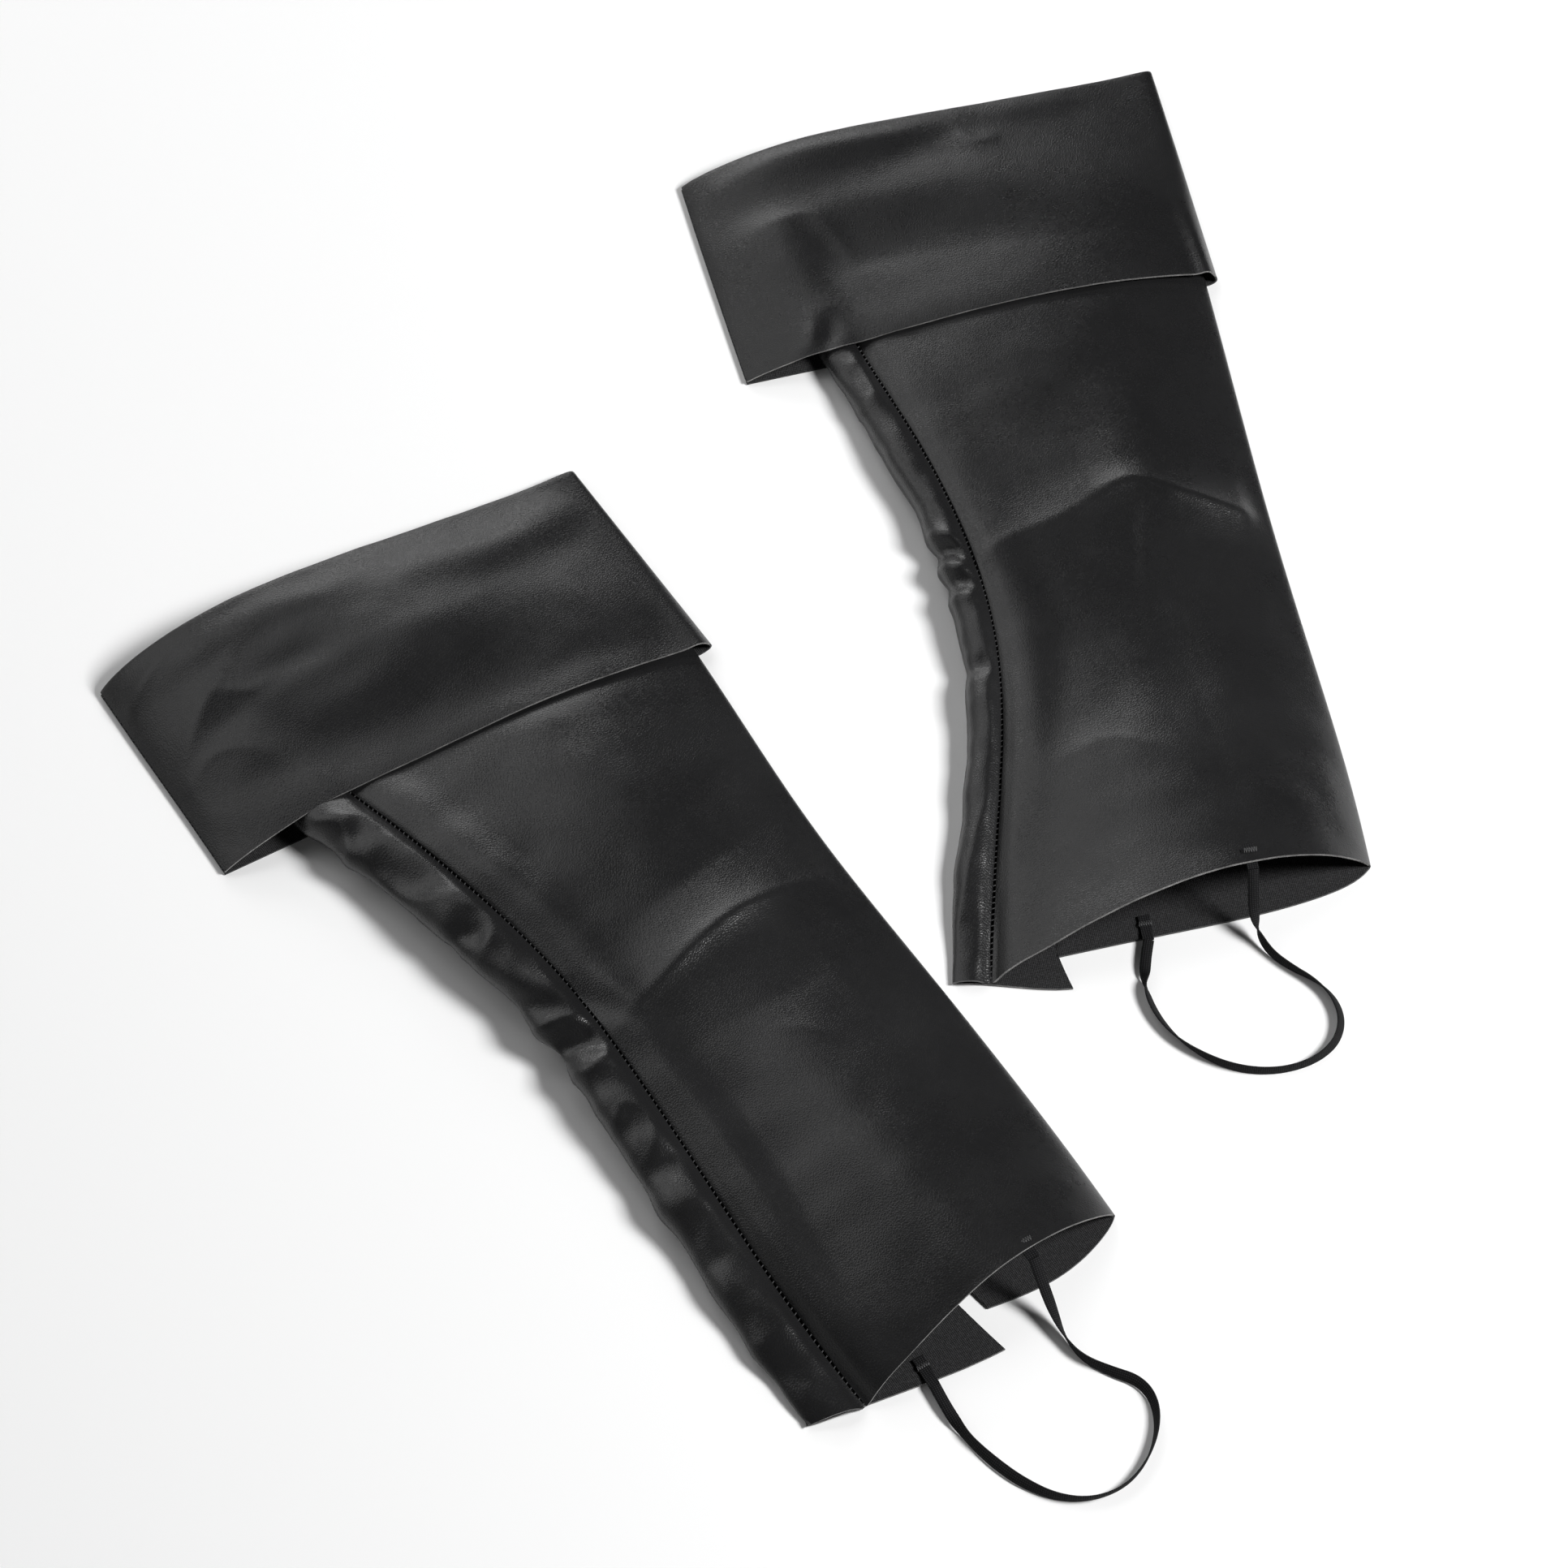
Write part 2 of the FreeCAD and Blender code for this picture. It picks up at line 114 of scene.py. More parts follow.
# Cuff rows from the turned top to the raw edge: front u, front v, calf u, calf v, crown, lean of the crown
LEFT_CUFF = [
    (-2.0, 0.0, 249.5, -1.0, 25.0, 2.2),
    (-3.0, 30.0, 249.0, 28.0, 26.0, 1.8),
    (-4.0, 60.0, 248.0, 57.0, 27.0, 1.5),
    (-5.0, 90.0, 247.0, 87.0, 27.0, 1.2),
    (-6.0, 121.5, 246.5, 117.0, 26.0, 0.95),
]
RIGHT_CUFF = [
    (-2.0, 0.0, 243.5, 35.0, 14.0, 2.4),
    (-3.0, 34.0, 241.0, 66.0, 18.0, 1.9),
    (-4.0, 68.0, 238.0, 98.0, 22.0, 1.4),
    (-4.5, 102.0, 235.0, 130.0, 24.0, 0.9),
    (-5.5, 138.5, 231.7, 162.5, 24.0, 0.62),
]
# Elastics, from the upper tack to the lower one, the same points as in the CAD model
LEFT_ELASTIC = [
    (48.6, 482.0, 22.6), (48.9, 489.5, 14.5), (49.8, 499.5, 6.8), (51.4, 511.5, 2.7), (50.4, 524.0, 2.5),
    (43.5, 535.5, 2.5), (35.5, 545.5, 2.5), (35.0, 557.0, 2.5), (41.5, 569.0, 2.5), (53.0, 579.0, 2.5),
    (67.5, 584.5, 2.5), (82.5, 582.5, 2.5), (95.0, 574.0, 2.5), (103.5, 561.0, 2.5), (108.8, 546.5, 2.5),
    (112.0, 532.0, 2.5), (112.5, 517.0, 2.7), (111.0, 503.5, 3.2),
]
RIGHT_ELASTIC = [
    (59.3, 498.6, 31.5), (59.5, 503.0, 21.5), (59.9, 508.5, 12.0), (58.8, 516.5, 5.0), (55.0, 525.5, 2.5),
    (47.5, 534.5, 2.5), (38.5, 542.5, 2.5), (32.5, 552.5, 2.5), (31.5, 564.5, 2.5), (36.5, 575.5, 2.5),
    (47.0, 583.0, 2.5), (60.0, 586.0, 2.5), (73.5, 585.0, 2.5), (86.5, 580.0, 2.5), (98.0, 571.0, 2.5),
    (107.0, 560.0, 2.5), (112.5, 547.0, 2.5), (114.0, 533.5, 2.5), (111.5, 521.0, 2.8), (107.5, 510.0, 3.2),
]

# Folds and rolls pressed into the cloth: kind, width, height, points (u, v).
# A roll is a soft ridge, a crease is a sharp one, and a lip is sharp with one width on the left of its
# direction and another on the right. A negative height makes a valley.
LEFT_LEG_FOLDS = [
    ("lip", (14.0, 12.0), 2.2, [(146, 292), (120, 281), (94, 271), (70, 265), (51, 262), (31, 261)]),
    ("lip", (24.0, 22.0), 4.8, [(122, 282), (100, 274), (82, 268), (66, 264), (51, 262), (34, 261)]),
    ("crease", 5.0, 0.7, [(36, 261), (22, 263), (8, 266)]),
    ("crease", 10.0, 1.2, [(51, 262), (46, 280), (43, 310), (42, 350)]),
    ("roll", 9.0, 1.6, [(134, 320), (130, 346), (130, 380), (134, 428), (136, 472)]),
    ("roll", 12.0, -2.4, [(122, 304), (115, 350), (114, 400), (118, 450)]),
    ("roll", 30.0, 6.6, [(76, 312), (75, 360), (74, 410), (70, 480)]),
    ("roll", 36.0, 5.0, [(80, 110), (80, 160), (74, 205), (66, 235)]),
    ("roll", 14.0, 1.2, [(176, 130), (160, 170), (142, 205), (126, 235)]),
    ("crease", 4.0, 0.6, [(84, 325), (72, 333), (60, 345)]),
    ("roll", 5.0, -1.6, [(146, 262), (141, 276), (134, 290)]),
]
LEFT_STRIP_FOLDS = [
    ("crease", 6.0, 2.6, [(206, 122), (196, 127), (186, 134)]),
    ("crease", 6.0, 2.2, [(189, 129), (194, 140), (201, 152)]),
    ("roll", 7.0, -2.4, [(203, 134), (196, 139), (184, 145)]),
    ("roll", 7.0, 2.0, [(182, 146), (176, 160), (167, 176), (160, 196), (156, 224)]),
    ("roll", 7.0, -2.4, [(194, 156), (186, 172), (178, 190)]),
    ("lip", (6.0, 9.0), 3.6, [(186, 184), (172, 194), (164, 206), (164, 219), (178, 230)]),
    ("roll", 6.0, -2.6, [(182, 208), (174, 215), (172, 224)]),
    ("roll", 7.0, 2.6, [(172, 236), (161, 250), (150, 268)]),
    ("roll", 6.0, -2.0, [(174, 250), (166, 262), (158, 270)]),
    ("crease", 4.0, 2.6, [(172, 270), (160, 274), (149, 279)]),
    ("roll", 8.0, -4.6, [(174, 284), (160, 287), (146, 291)]),
    ("crease", 4.0, 2.4, [(171, 299), (158, 301), (146, 298)]),
    ("lip", (8.0, 6.0), 2.6, [(170, 335), (158, 325), (151, 333), (156, 348), (166, 354)]),
    ("roll", 8.0, -2.0, [(169, 353), (158, 357), (150, 362)]),
    ("roll", 8.0, 2.0, [(166, 376), (153, 381), (149, 396)]),
    ("roll", 8.0, -1.6, [(165, 400), (155, 412), (150, 420)]),
    ("roll", 8.0, 1.8, [(160, 430), (152, 446), (152, 466)]),
]
RIGHT_LEG_FOLDS = [
    (
        "lip", (16.0, 12.0), 3.0,
        [(150, 303), (130, 291), (110, 285), (93, 278), (67, 266), (46, 276), (28, 283), (8, 289)],
    ),
    ("lip", (22.0, 22.0), 5.0, [(84, 270), (64, 268), (46, 276), (28, 283), (8, 289)]),
    ("roll", 13.0, 1.4, [(176, 190), (166, 218), (154, 256), (145, 292)]),
    ("roll", 13.0, 1.2, [(136, 320), (134, 350), (138, 380), (146, 412), (154, 440)]),
    ("roll", 44.0, 4.0, [(150, 432), (108, 430), (60, 428)]),
    ("roll", 16.0, 1.0, [(54, 205), (55, 235), (44, 262)]),
    ("roll", 16.0, 1.0, [(40, 298), (30, 338), (27, 400)]),
    ("roll", 16.0, -1.0, [(75, 320), (66, 370), (62, 410)]),
    ("crease", 8.0, 0.8, [(133, 421), (106, 414), (79, 430), (60, 460)]),
    ("roll", 12.0, 0.7, [(48, 444), (36, 458), (20, 454)]),
]
RIGHT_STRIP_FOLDS = [
    ("crease", 5.0, 2.2, [(187, 172), (176, 169), (173, 187), (182, 198)]),
    ("roll", 6.0, 1.8, [(176, 210), (171, 229), (166, 252)]),
    ("roll", 5.0, -2.0, [(180, 232), (174, 246), (168, 262)]),
    ("crease", 3.4, 3.4, [(164, 277), (156, 281), (148, 290)]),
    ("roll", 4.0, -3.2, [(164, 286), (155, 290), (148, 298)]),
    ("crease", 3.4, 2.8, [(163, 295), (154, 301), (146, 304)]),
    ("roll", 4.0, -2.4, [(162, 305), (154, 309), (146, 312)]),
    ("crease", 4.0, 2.0, [(162, 315), (154, 318), (147, 323)]),
    ("roll", 5.0, -2.4, [(162, 354), (154, 357), (147, 358)]),
    ("roll", 6.0, 1.6, [(162, 372), (154, 380), (152, 400)]),
    ("crease", 5.0, 2.0, [(166, 430), (173, 444), (180, 463), (191, 493)]),
]
LEFT_CUFF_FOLDS = [
    ("roll", 13.0, 2.2, [(110, 22), (84, 24), (58, 26), (30, 22), (8, 16)]),
    ("roll", 9.0, 1.6, [(232, 16), (196, 14), (160, 15), (128, 20)]),
    ("crease", 6.0, 1.5, [(238, 62), (224, 48), (208, 36), (190, 24)]),
    ("crease", 5.0, 1.3, [(210, 36), (202, 44), (194, 48), (182, 46)]),
    ("crease", 5.0, 1.0, [(240, 74), (228, 66), (216, 68), (206, 78)]),
    ("roll", 8.0, -1.0, [(222, 60), (210, 56), (200, 58)]),
    ("crease", 5.0, 1.4, [(248, 24), (236, 14), (216, 5)]),
    ("roll", 10.0, -1.0, [(190, 58), (160, 62), (132, 60)]),
    ("roll", 8.0, -1.5, [(196, 48), (176, 44), (150, 46)]),
    ("lip", (17.0, 30.0), 1.7, [(113, -4), (105, 22), (107, 48), (97, 84)]),
    ("roll", 20.0, -1.0, [(70, 50), (66, 74), (60, 96)]),
    ("crease", 6.0, 0.7, [(38, 60), (29, 94), (27, 120)]),
    ("roll", 14.0, 1.0, [(180, 72), (154, 78), (126, 74)]),
    ("roll", 10.0, -0.9, [(222, 84), (206, 92), (190, 94)]),
]
RIGHT_CUFF_FOLDS = [
    ("roll", 11.0, 2.8, [(222, 46), (186, 36), (138, 29), (106, 20)]),
    ("roll", 10.0, 1.2, [(100, 18), (70, 16), (40, 12)]),
    ("roll", 15.0, -2.0, [(226, 66), (190, 60), (150, 56), (120, 52)]),
    ("crease", 6.0, 1.2, [(106, 30), (97, 40), (84, 36)]),
    ("crease", 8.0, 1.3, [(214, 78), (190, 74), (178, 85), (168, 112)]),
    ("roll", 12.0, -1.2, [(206, 100), (198, 120), (192, 136)]),
    ("roll", 12.0, 0.6, [(176, 118), (150, 119), (124, 110)]),
    ("crease", 5.0, 1.6, [(206, 158), (199, 152), (196, 140)]),
    ("roll", 5.0, -1.4, [(194, 158), (189, 150), (188, 140)]),
]

# brow, puff, pucker and uneven are heights in mm: of the cloth beside the back seam, the strip's swelling, its puckers
# and the cuff's waves. flat is each sheet's width and length in m and area in m2.
GAITERS = [
    {
        "name": "left", "corner": (-74.8, 125.3), "heading": -59.0, "leg": LEFT_LEG, "flap": 22.0, "drop": 8.0,
        "cuff": LEFT_CUFF, "elastic": LEFT_ELASTIC, "tacks": ((48.6, 474.5, 26.2), (110.0, 492.5, 2.3)),
        "leg_folds": LEFT_LEG_FOLDS, "strip_folds": LEFT_STRIP_FOLDS, "cuff_folds": LEFT_CUFF_FOLDS,
        "hem_bulge": (4.0, 10.0, 8.0, 2.0), "brow": 1.3, "puff": 2.0, "pucker": 2.0, "uneven": 0.8, "twist": 0.5,
        "elastic_length": 0.2336, "seed": 3,
        "flat": {"outer": (0.364, 0.487, 0.126), "inner": (0.187, 0.501, 0.053), "cuff": (0.505, 0.122, 0.060)},
    },
    {
        "name": "right", "corner": (209.4, 381.7), "heading": -80.4, "leg": RIGHT_LEG, "flap": 19.0, "drop": 5.0,
        "cuff": RIGHT_CUFF, "elastic": RIGHT_ELASTIC, "tacks": ((59.3, 491.0, 35.5), (107.0, 500.5, 2.3)),
        "leg_folds": RIGHT_LEG_FOLDS, "strip_folds": RIGHT_STRIP_FOLDS, "cuff_folds": RIGHT_CUFF_FOLDS,
        "hem_bulge": (8.0, 9.0, 4.0, 1.0), "brow": 0.7, "puff": 1.2, "pucker": 0.9, "uneven": 0.4, "twist": 0.45,
        "elastic_length": 0.2350, "seed": 8,
        "flat": {"outer": (0.392, 0.513, 0.147), "inner": (0.133, 0.498, 0.032), "cuff": (0.490, 0.138, 0.065)},
    },
]


def place(gaiter, points):
    """Plan points (..., 3) in millimetres, brought to the frame in metres."""
    points = np.asarray(points, float)
    turn = math.radians(gaiter["heading"])
    u, v, z = points[..., 0], points[..., 1], points[..., 2]
    x = gaiter["corner"][0] + u * math.sin(turn) + v * math.cos(turn)
    y = gaiter["corner"][1] - u * math.cos(turn) + v * math.sin(turn)
    return np.stack((x, y, z), -1) / 1000


# ---------------------------------------------------------------- camera
def aim(thing, target):
    """Turns a camera or a lamp to look at a point."""
    thing.rotation_euler = (Vector(target) - thing.location).to_track_quat("-Z", "Y").to_euler()


camera_data = bpy.data.cameras.new("camera")
camera_data.lens = 120
camera_data.sensor_width = 36
camera = bpy.data.objects.new("camera", camera_data)
scene.collection.objects.link(camera)
camera.location = (0.0259, -1.4188, 1.952)
aim(camera, (0.0259, -0.0518, 0.0))
scene.camera = camera


# ---------------------------------------------------------------- materials
class Nodes:
    """A short way to wire a material."""

    def __init__(self, name):
        self.material = bpy.data.materials.new(name)
        self.material.use_nodes = True
        self.tree = self.material.node_tree
        self.shader = self.tree.nodes["Principled BSDF"]
        self.place = self.tree.nodes.new("ShaderNodeTexCoord").outputs["Object"]

    def add(self, kind, inputs=None, **settings):
        node = self.tree.nodes.new(kind)
        for key, value in settings.items():
            setattr(node, key, value)
        for key, value in (inputs or {}).items():
            if isinstance(value, bpy.types.NodeSocket):
                self.tree.links.new(value, node.inputs[key])
            else:
                node.inputs[key].default_value = value
        return node

    def noise(self, scale, detail=3.0, vector=None, roughness=0.55):
        inputs = {"Vector": vector or self.place, "Scale": scale, "Detail": detail, "Roughness": roughness}
        return self.add("ShaderNodeTexNoise", inputs).outputs["Fac"]

    def wave(self, direction, vector, scale, distortion, **inputs):
        inputs.update({"Vector": vector, "Scale": scale, "Distortion": distortion})
        return self.add("ShaderNodeTexWave", inputs, bands_direction=direction).outputs["Fac"]

    def spread(self, value, low, high, start=0.0, end=1.0):
        inputs = {"Value": value, "From Min": start, "From Max": end, "To Min": low, "To Max": high}
        return self.add("ShaderNodeMapRange", inputs).outputs["Result"]

    def math(self, operation, first, second):
        return self.add("ShaderNodeMath", {0: first, 1: second}, operation=operation).outputs[0]

    def blend(self, factor, first, second):
        node = self.add("ShaderNodeMix", {0: factor}, data_type="RGBA")
        node.inputs[6].default_value = (*first, 1.0)
        node.inputs[7].default_value = (*second, 1.0)
        return node.outputs[2]

    def bump(self, height, distance, strength, under=None):
        inputs = {"Height": height, "Distance": distance, "Strength": strength}
        if under is not None:
            inputs["Normal"] = under
        return self.add("ShaderNodeBump", inputs).outputs["Normal"]

    def finish(self, **sockets):
        for key, value in sockets.items():
            socket = self.shader.inputs[key.replace("_", " ")]
            if isinstance(value, bpy.types.NodeSocket):
                self.tree.links.new(value, socket)
            else:
                socket.default_value = value
        return self.material


def faux_leather(name, dark, light, rough, shine):
    """Polyurethane-coated fabric: fine printed grain, faint scuffs and uneven gloss."""
    n = Nodes(name)
    patches = n.noise(14.0, 4.0)
    scuffs = n.noise(260.0, 5.0, roughness=0.7)
    colour = n.blend(n.spread(patches, 0.0, 1.0, 0.3, 0.7), dark, light)
    gloss = n.math("ADD", n.spread(patches, rough - 0.03, rough + 0.04, 0.3, 0.7), n.spread(scuffs, -0.04, 0.06))
    cells = n.add("ShaderNodeTexVoronoi", {"Vector": n.place, "Scale": 820.0}, feature="DISTANCE_TO_EDGE")
    grain = n.spread(cells.outputs["Distance"], 0.0, 1.0, 0.0, 0.28)
    pores = n.noise(1900.0, 2.0)
    normal = n.bump(n.noise(60.0, 4.0), 0.0007, 0.2)
    normal = n.bump(grain, 0.00009, 0.5, normal)
    normal = n.bump(pores, 0.00007, 0.4, normal)
    return n.finish(Base_Color=colour, Roughness=gloss, Normal=normal, Specular_IOR_Level=shine)


def woven_backing(name, heading):
    """The knitted textile on the back of the coating, seen inside the mouths and on the flap."""
    n = Nodes(name)
    rotation = (0.0, 0.0, math.radians(-heading))
    turned = n.add("ShaderNodeMapping", {"Vector": n.place, "Rotation": rotation}).outputs["Vector"]
    warp, weft = [n.wave(direction, turned, 380.0, 1.2, Detail=1.0) for direction in "XY"]
    weave = n.math("MULTIPLY", warp, weft)
    fluff = n.noise(900.0, 4.0, roughness=0.75)
    mixed = n.math("ADD", n.spread(weave, 0.0, 0.55), n.spread(fluff, 0.0, 0.6, 0.45, 0.75))
    colour = n.blend(mixed, (0.004, 0.004, 0.0044), (0.05, 0.05, 0.052))
    normal = n.bump(weave, 0.0004, 0.7)
    normal = n.bump(fluff, 0.0003, 0.5, normal)
    return n.finish(Base_Color=colour, Roughness=0.92, Normal=normal, Specular_IOR_Level=0.2, Sheen_Weight=0.15)


def cut_edge(name):
    """The pale cut edge of the fabric, where the textile core shows."""
    n = Nodes(name)
    fibres = n.noise(1300.0, 4.0, roughness=0.8)
    patches = n.noise(120.0, 3.0)
    worn = n.math("MULTIPLY", n.spread(fibres, 0.2, 1.0, 0.3, 0.65), n.spread(patches, 0.45, 1.0, 0.3, 0.65))
    colour = n.blend(worn, (0.025, 0.025, 0.026), (0.34, 0.335, 0.33))
    return n.finish(Base_Color=colour, Roughness=0.9, Normal=n.bump(fibres, 0.0003, 0.8), Specular_IOR_Level=0.2)


def thread_material():
    """Twisted polyester sewing thread."""
    n = Nodes("sewing_thread")
    twist = n.wave("DIAGONAL", n.place, 700.0, 2.0)
    colour = n.blend(twist, (0.012, 0.012, 0.013), (0.06, 0.06, 0.062))
    return n.finish(Base_Color=colour, Roughness=0.55, Normal=n.bump(twist, 0.0002, 0.5), Sheen_Weight=0.2)


def elastic_material():
    """Braided flat elastic: fine ribs across it and a lighter selvedge fuzz."""
    n = Nodes("flat_elastic")
    strip = n.add("ShaderNodeUVMap", uv_map="ribbon").outputs["UV"]
    ribs = n.wave("Y", strip, 0.33, 0.6)
    cords = n.wave("X", strip, 0.30, 0.3)
    knit = n.math("MULTIPLY", ribs, cords)
    fuzz = n.noise(1500.0, 3.0)
    colour = n.blend(n.math("MULTIPLY", knit, fuzz), (0.004, 0.004, 0.0045), (0.05, 0.05, 0.052))
    normal = n.bump(knit, 0.0003, 0.7)
    return n.finish(Base_Color=colour, Roughness=0.85, Normal=normal, Specular_IOR_Level=0.15)


LEG_COAT = faux_leather("leg_faux_leather_coat", (0.0095, 0.0095, 0.0099), (0.0125, 0.0125, 0.013), 0.27, 0.5)
CUFF_COAT = faux_leather("cuff_faux_leather_coat", (0.009, 0.009, 0.0094), (0.012, 0.012, 0.0125), 0.27, 0.4)
EDGE = cut_edge("pale_cut_edge")
THREAD = thread_material()
ELASTIC = elastic_material()
BACKING = {g["name"]: woven_backing(g["name"] + "_woven_backing", g["heading"]) for g in GAITERS}


# ---------------------------------------------------------------- smooth surfaces
def cubic_knots(count):
    """Knots of a clamped uniform cubic spline with count poles."""
    return np.concatenate(([0.0] * 3, np.linspace(0.0, 1.0, count - 2), [1.0] * 3))


def cubic_basis(count, params):
    """How much each of count poles weighs at each parameter, on a clamped uniform cubic spline."""
    knots = cubic_knots(count)
    t = np.clip(np.asarray(params, float), 0.0, 1.0 - 1e-9)[:, None]
    weights = ((knots[:-1] <= t) & (t < knots[1:])).astype(float)
    for degree in (1, 2, 3):
        rise = knots[degree:-1] - knots[:-degree - 1]
        fall = knots[degree + 1:] - knots[1:-degree]
        up = np.divide(t - knots[:-degree - 1], rise, out=np.zeros((len(t), len(rise))), where=rise > 0)
        down = np.divide(knots[degree + 1:] - t, fall, out=np.zeros((len(t), len(fall))), where=fall > 0)
        weights = up * weights[:, :-1] + down * weights[:, 1:]
    return weights


def even_params(poles, step, turn_degrees):
    """Parameters that follow a curve in even steps, closer together where it turns."""
    fine = np.linspace(0.0, 1.0, 1600)
    line = cubic_basis(len(poles), fine) @ np.asarray(poles, float)
    runs = np.diff(line, axis=0)
    lengths = norm(runs, axis=1)
    heading = runs / np.maximum(lengths, 1e-9)[:, None]
    bends = np.degrees(np.arccos(np.clip((heading[1:] * heading[:-1]).sum(1), -1, 1)))
    load = lengths / step
    load[1:] += bends / turn_degrees
    total = np.concatenate(([0.0], np.cumsum(load)))
    count = max(4, math.ceil(total[-1]))
    return np.interp(np.linspace(0, total[-1], count + 1), total, fine)


def surface(net, row_params, column_params):
    """Points of the smooth surface that a net of poles draws, with no detail yet."""
    rows = cubic_basis(len(net), row_params)
    columns = cubic_basis(len(net[0]), column_params)
    return np.einsum("tr,rcx,sc->tsx", rows, np.asarray(net, float), columns)


def normals_of(grid, sign=1.0):
    """Unit normals that point out of the gaiter. sign is -1 where the columns run towards the calf."""
    down = np.gradient(grid, axis=0)
    across = np.gradient(grid, axis=1)
    normal = np.cross(down, across) * sign
    normal /= np.maximum(norm(normal, axis=2, keepdims=True), 1e-9)
    return normal


def run_lengths(grid):
    """Distance along each row from its first point."""
    steps = norm(np.diff(grid, axis=1), axis=2)
    return np.concatenate((np.zeros((len(grid), 1)), np.cumsum(steps, axis=1)), axis=1)


def fold_place(net, pole, columns, reach):
    """How far along each row the fold at a pole lies."""
    param = float(cubic_knots(len(net[0]))[pole + 1:pole + 4].mean())
    return np.array([np.interp(param, columns, line) for line in reach])[:, None]


def soft_line(points, per_run=8):
    """A smooth line through a few points."""
    p = np.asarray(points, float)
    p = np.vstack((2 * p[0] - p[1], p, 2 * p[-1] - p[-2]))
    out = []
    for a, b, c, d in zip(p, p[1:], p[2:], p[3:]):
        for k in range(per_run):
            t = k / per_run
            square = 2 * a - 5 * b + 4 * c - d
            cube = 3 * b - a - 3 * c + d
            out.append(0.5 * (2 * b + (c - a) * t + square * t * t + cube * t ** 3))
    out.append(p[-2])
    return np.array(out)


def fold_heights(uv, folds):
    """Height of the pressed folds at plan points (..., 2)."""
    total = np.zeros(uv.shape[:-1])
    for kind, width, height, points in folds:
        line = soft_line(points)
        spans = norm(np.diff(line, axis=0), axis=1)
        starts = np.concatenate(([0.0], np.cumsum(spans)))
        best = np.full(total.shape, 1e9)
        share = np.zeros(total.shape)
        turned = np.zeros(total.shape)
        for a, b, start, span in zip(line, line[1:], starts, spans):
            run = b - a
            t = np.clip(((uv - a) @ run) / max(span * span, 1e-9), 0, 1)
            away = uv - a - t[..., None] * run
            gap = norm(away, axis=-1)
            nearer = gap < best
            best = np.where(nearer, gap, best)
            share = np.where(nearer, (start + t * span) / starts[-1], share)
            turned = np.where(nearer, run[0] * away[..., 1] - run[1] * away[..., 0], turned)
        fade = np.sin(math.pi * np.clip(0.08 + 0.84 * share, 0, 1)) ** 0.8
        if kind == "roll":
            profile = np.exp(-(best / width) ** 2)
        elif kind == "crease":
            profile = np.exp(-np.sqrt(best ** 2 + 0.3) / width)
        else:
            profile = np.exp(-np.sqrt(best ** 2 + 0.3) / np.where(turned > 0, width[0], width[1]))
        total += height * fade * profile
    return total


def ripple(points, size, seed):
    """Even, seeded unevenness between about -1 and 1, at plan points (..., 3)."""
    flat = points.reshape(-1, 3) / size + np.array((seed * 7.3, seed * 3.1, seed * 1.7))
    values = [noise.noise(Vector(p)) for p in flat]
    return np.array(values).reshape(points.shape[:-1])


def step_up(values, low, high):
    """A soft step from 0 at low to 1 at high."""
    t = np.clip((values - low) / (high - low), 0, 1)
    return t * t * (3 - 2 * t)


# ---------------------------------------------------------------- nets
# They follow the CAD model's. The right flap is more pointed, and the lower hems bulge.
def row_frame(front_u, front_v, calf_u, calf_v):
    """Start, direction and width of a row across the leg."""
    width = math.hypot(calf_u - front_u, calf_v - front_v)
    return (front_u, front_v), ((calf_u - front_u) / width, (calf_v - front_v) / width), width


def row_points(row, across_and_z, shifts=None):
    """Plan points on a row, each moved down the leg by its shift."""
    (start_u, start_v), (du, dv), _ = row
    shifts = shifts or [0.0] * len(across_and_z)
    return [(start_u + du * a, start_v + dv * a + s, z) for (a, z), s in zip(across_and_z, shifts)]


def upper_height(share, seam_z, bulge, base):
    """Height of the upper layer between the front fold (0) and the back seam (1)."""
    level = (base + FOLD_HEIGHT) * (1 - share) + seam_z * share
    return level + bulge * math.sin(math.pi * share ** 0.8)


def outer_net(g):
    """The upper layer from the back seam to the front fold, and the front half of the lower layer."""
    net = []
    for number, row in enumerate(g["leg"]):
        front_u, front_v, calf_u, calf_v, _, strip, seam_z, bulge, base, under_u, _ = row
        line = row_frame(front_u, front_v, calf_u, calf_v)
        last = number == len(g["leg"]) - 1
        edge = line[2] - strip - SEAM_GAP
        points = [(edge * s, upper_height(s, seam_z, bulge, base)) for s in UPPER_SHARES]
        shifts = [(g["drop"] if last else 0.0) * s ** 3 for s in UPPER_SHARES] + [0.0, 0.0]
        points += [(0.0, base + FOLD_HEIGHT), (0.0, base)]
        for share, bulge_v in zip((0.08, 0.4, 0.7, 1.0), g["hem_bulge"]):
            points.append((share * (under_u - SEAM_GAP), base))
            shifts.append(bulge_v if last else 0.0)
        net.append(row_points(line, points, shifts))
    return net


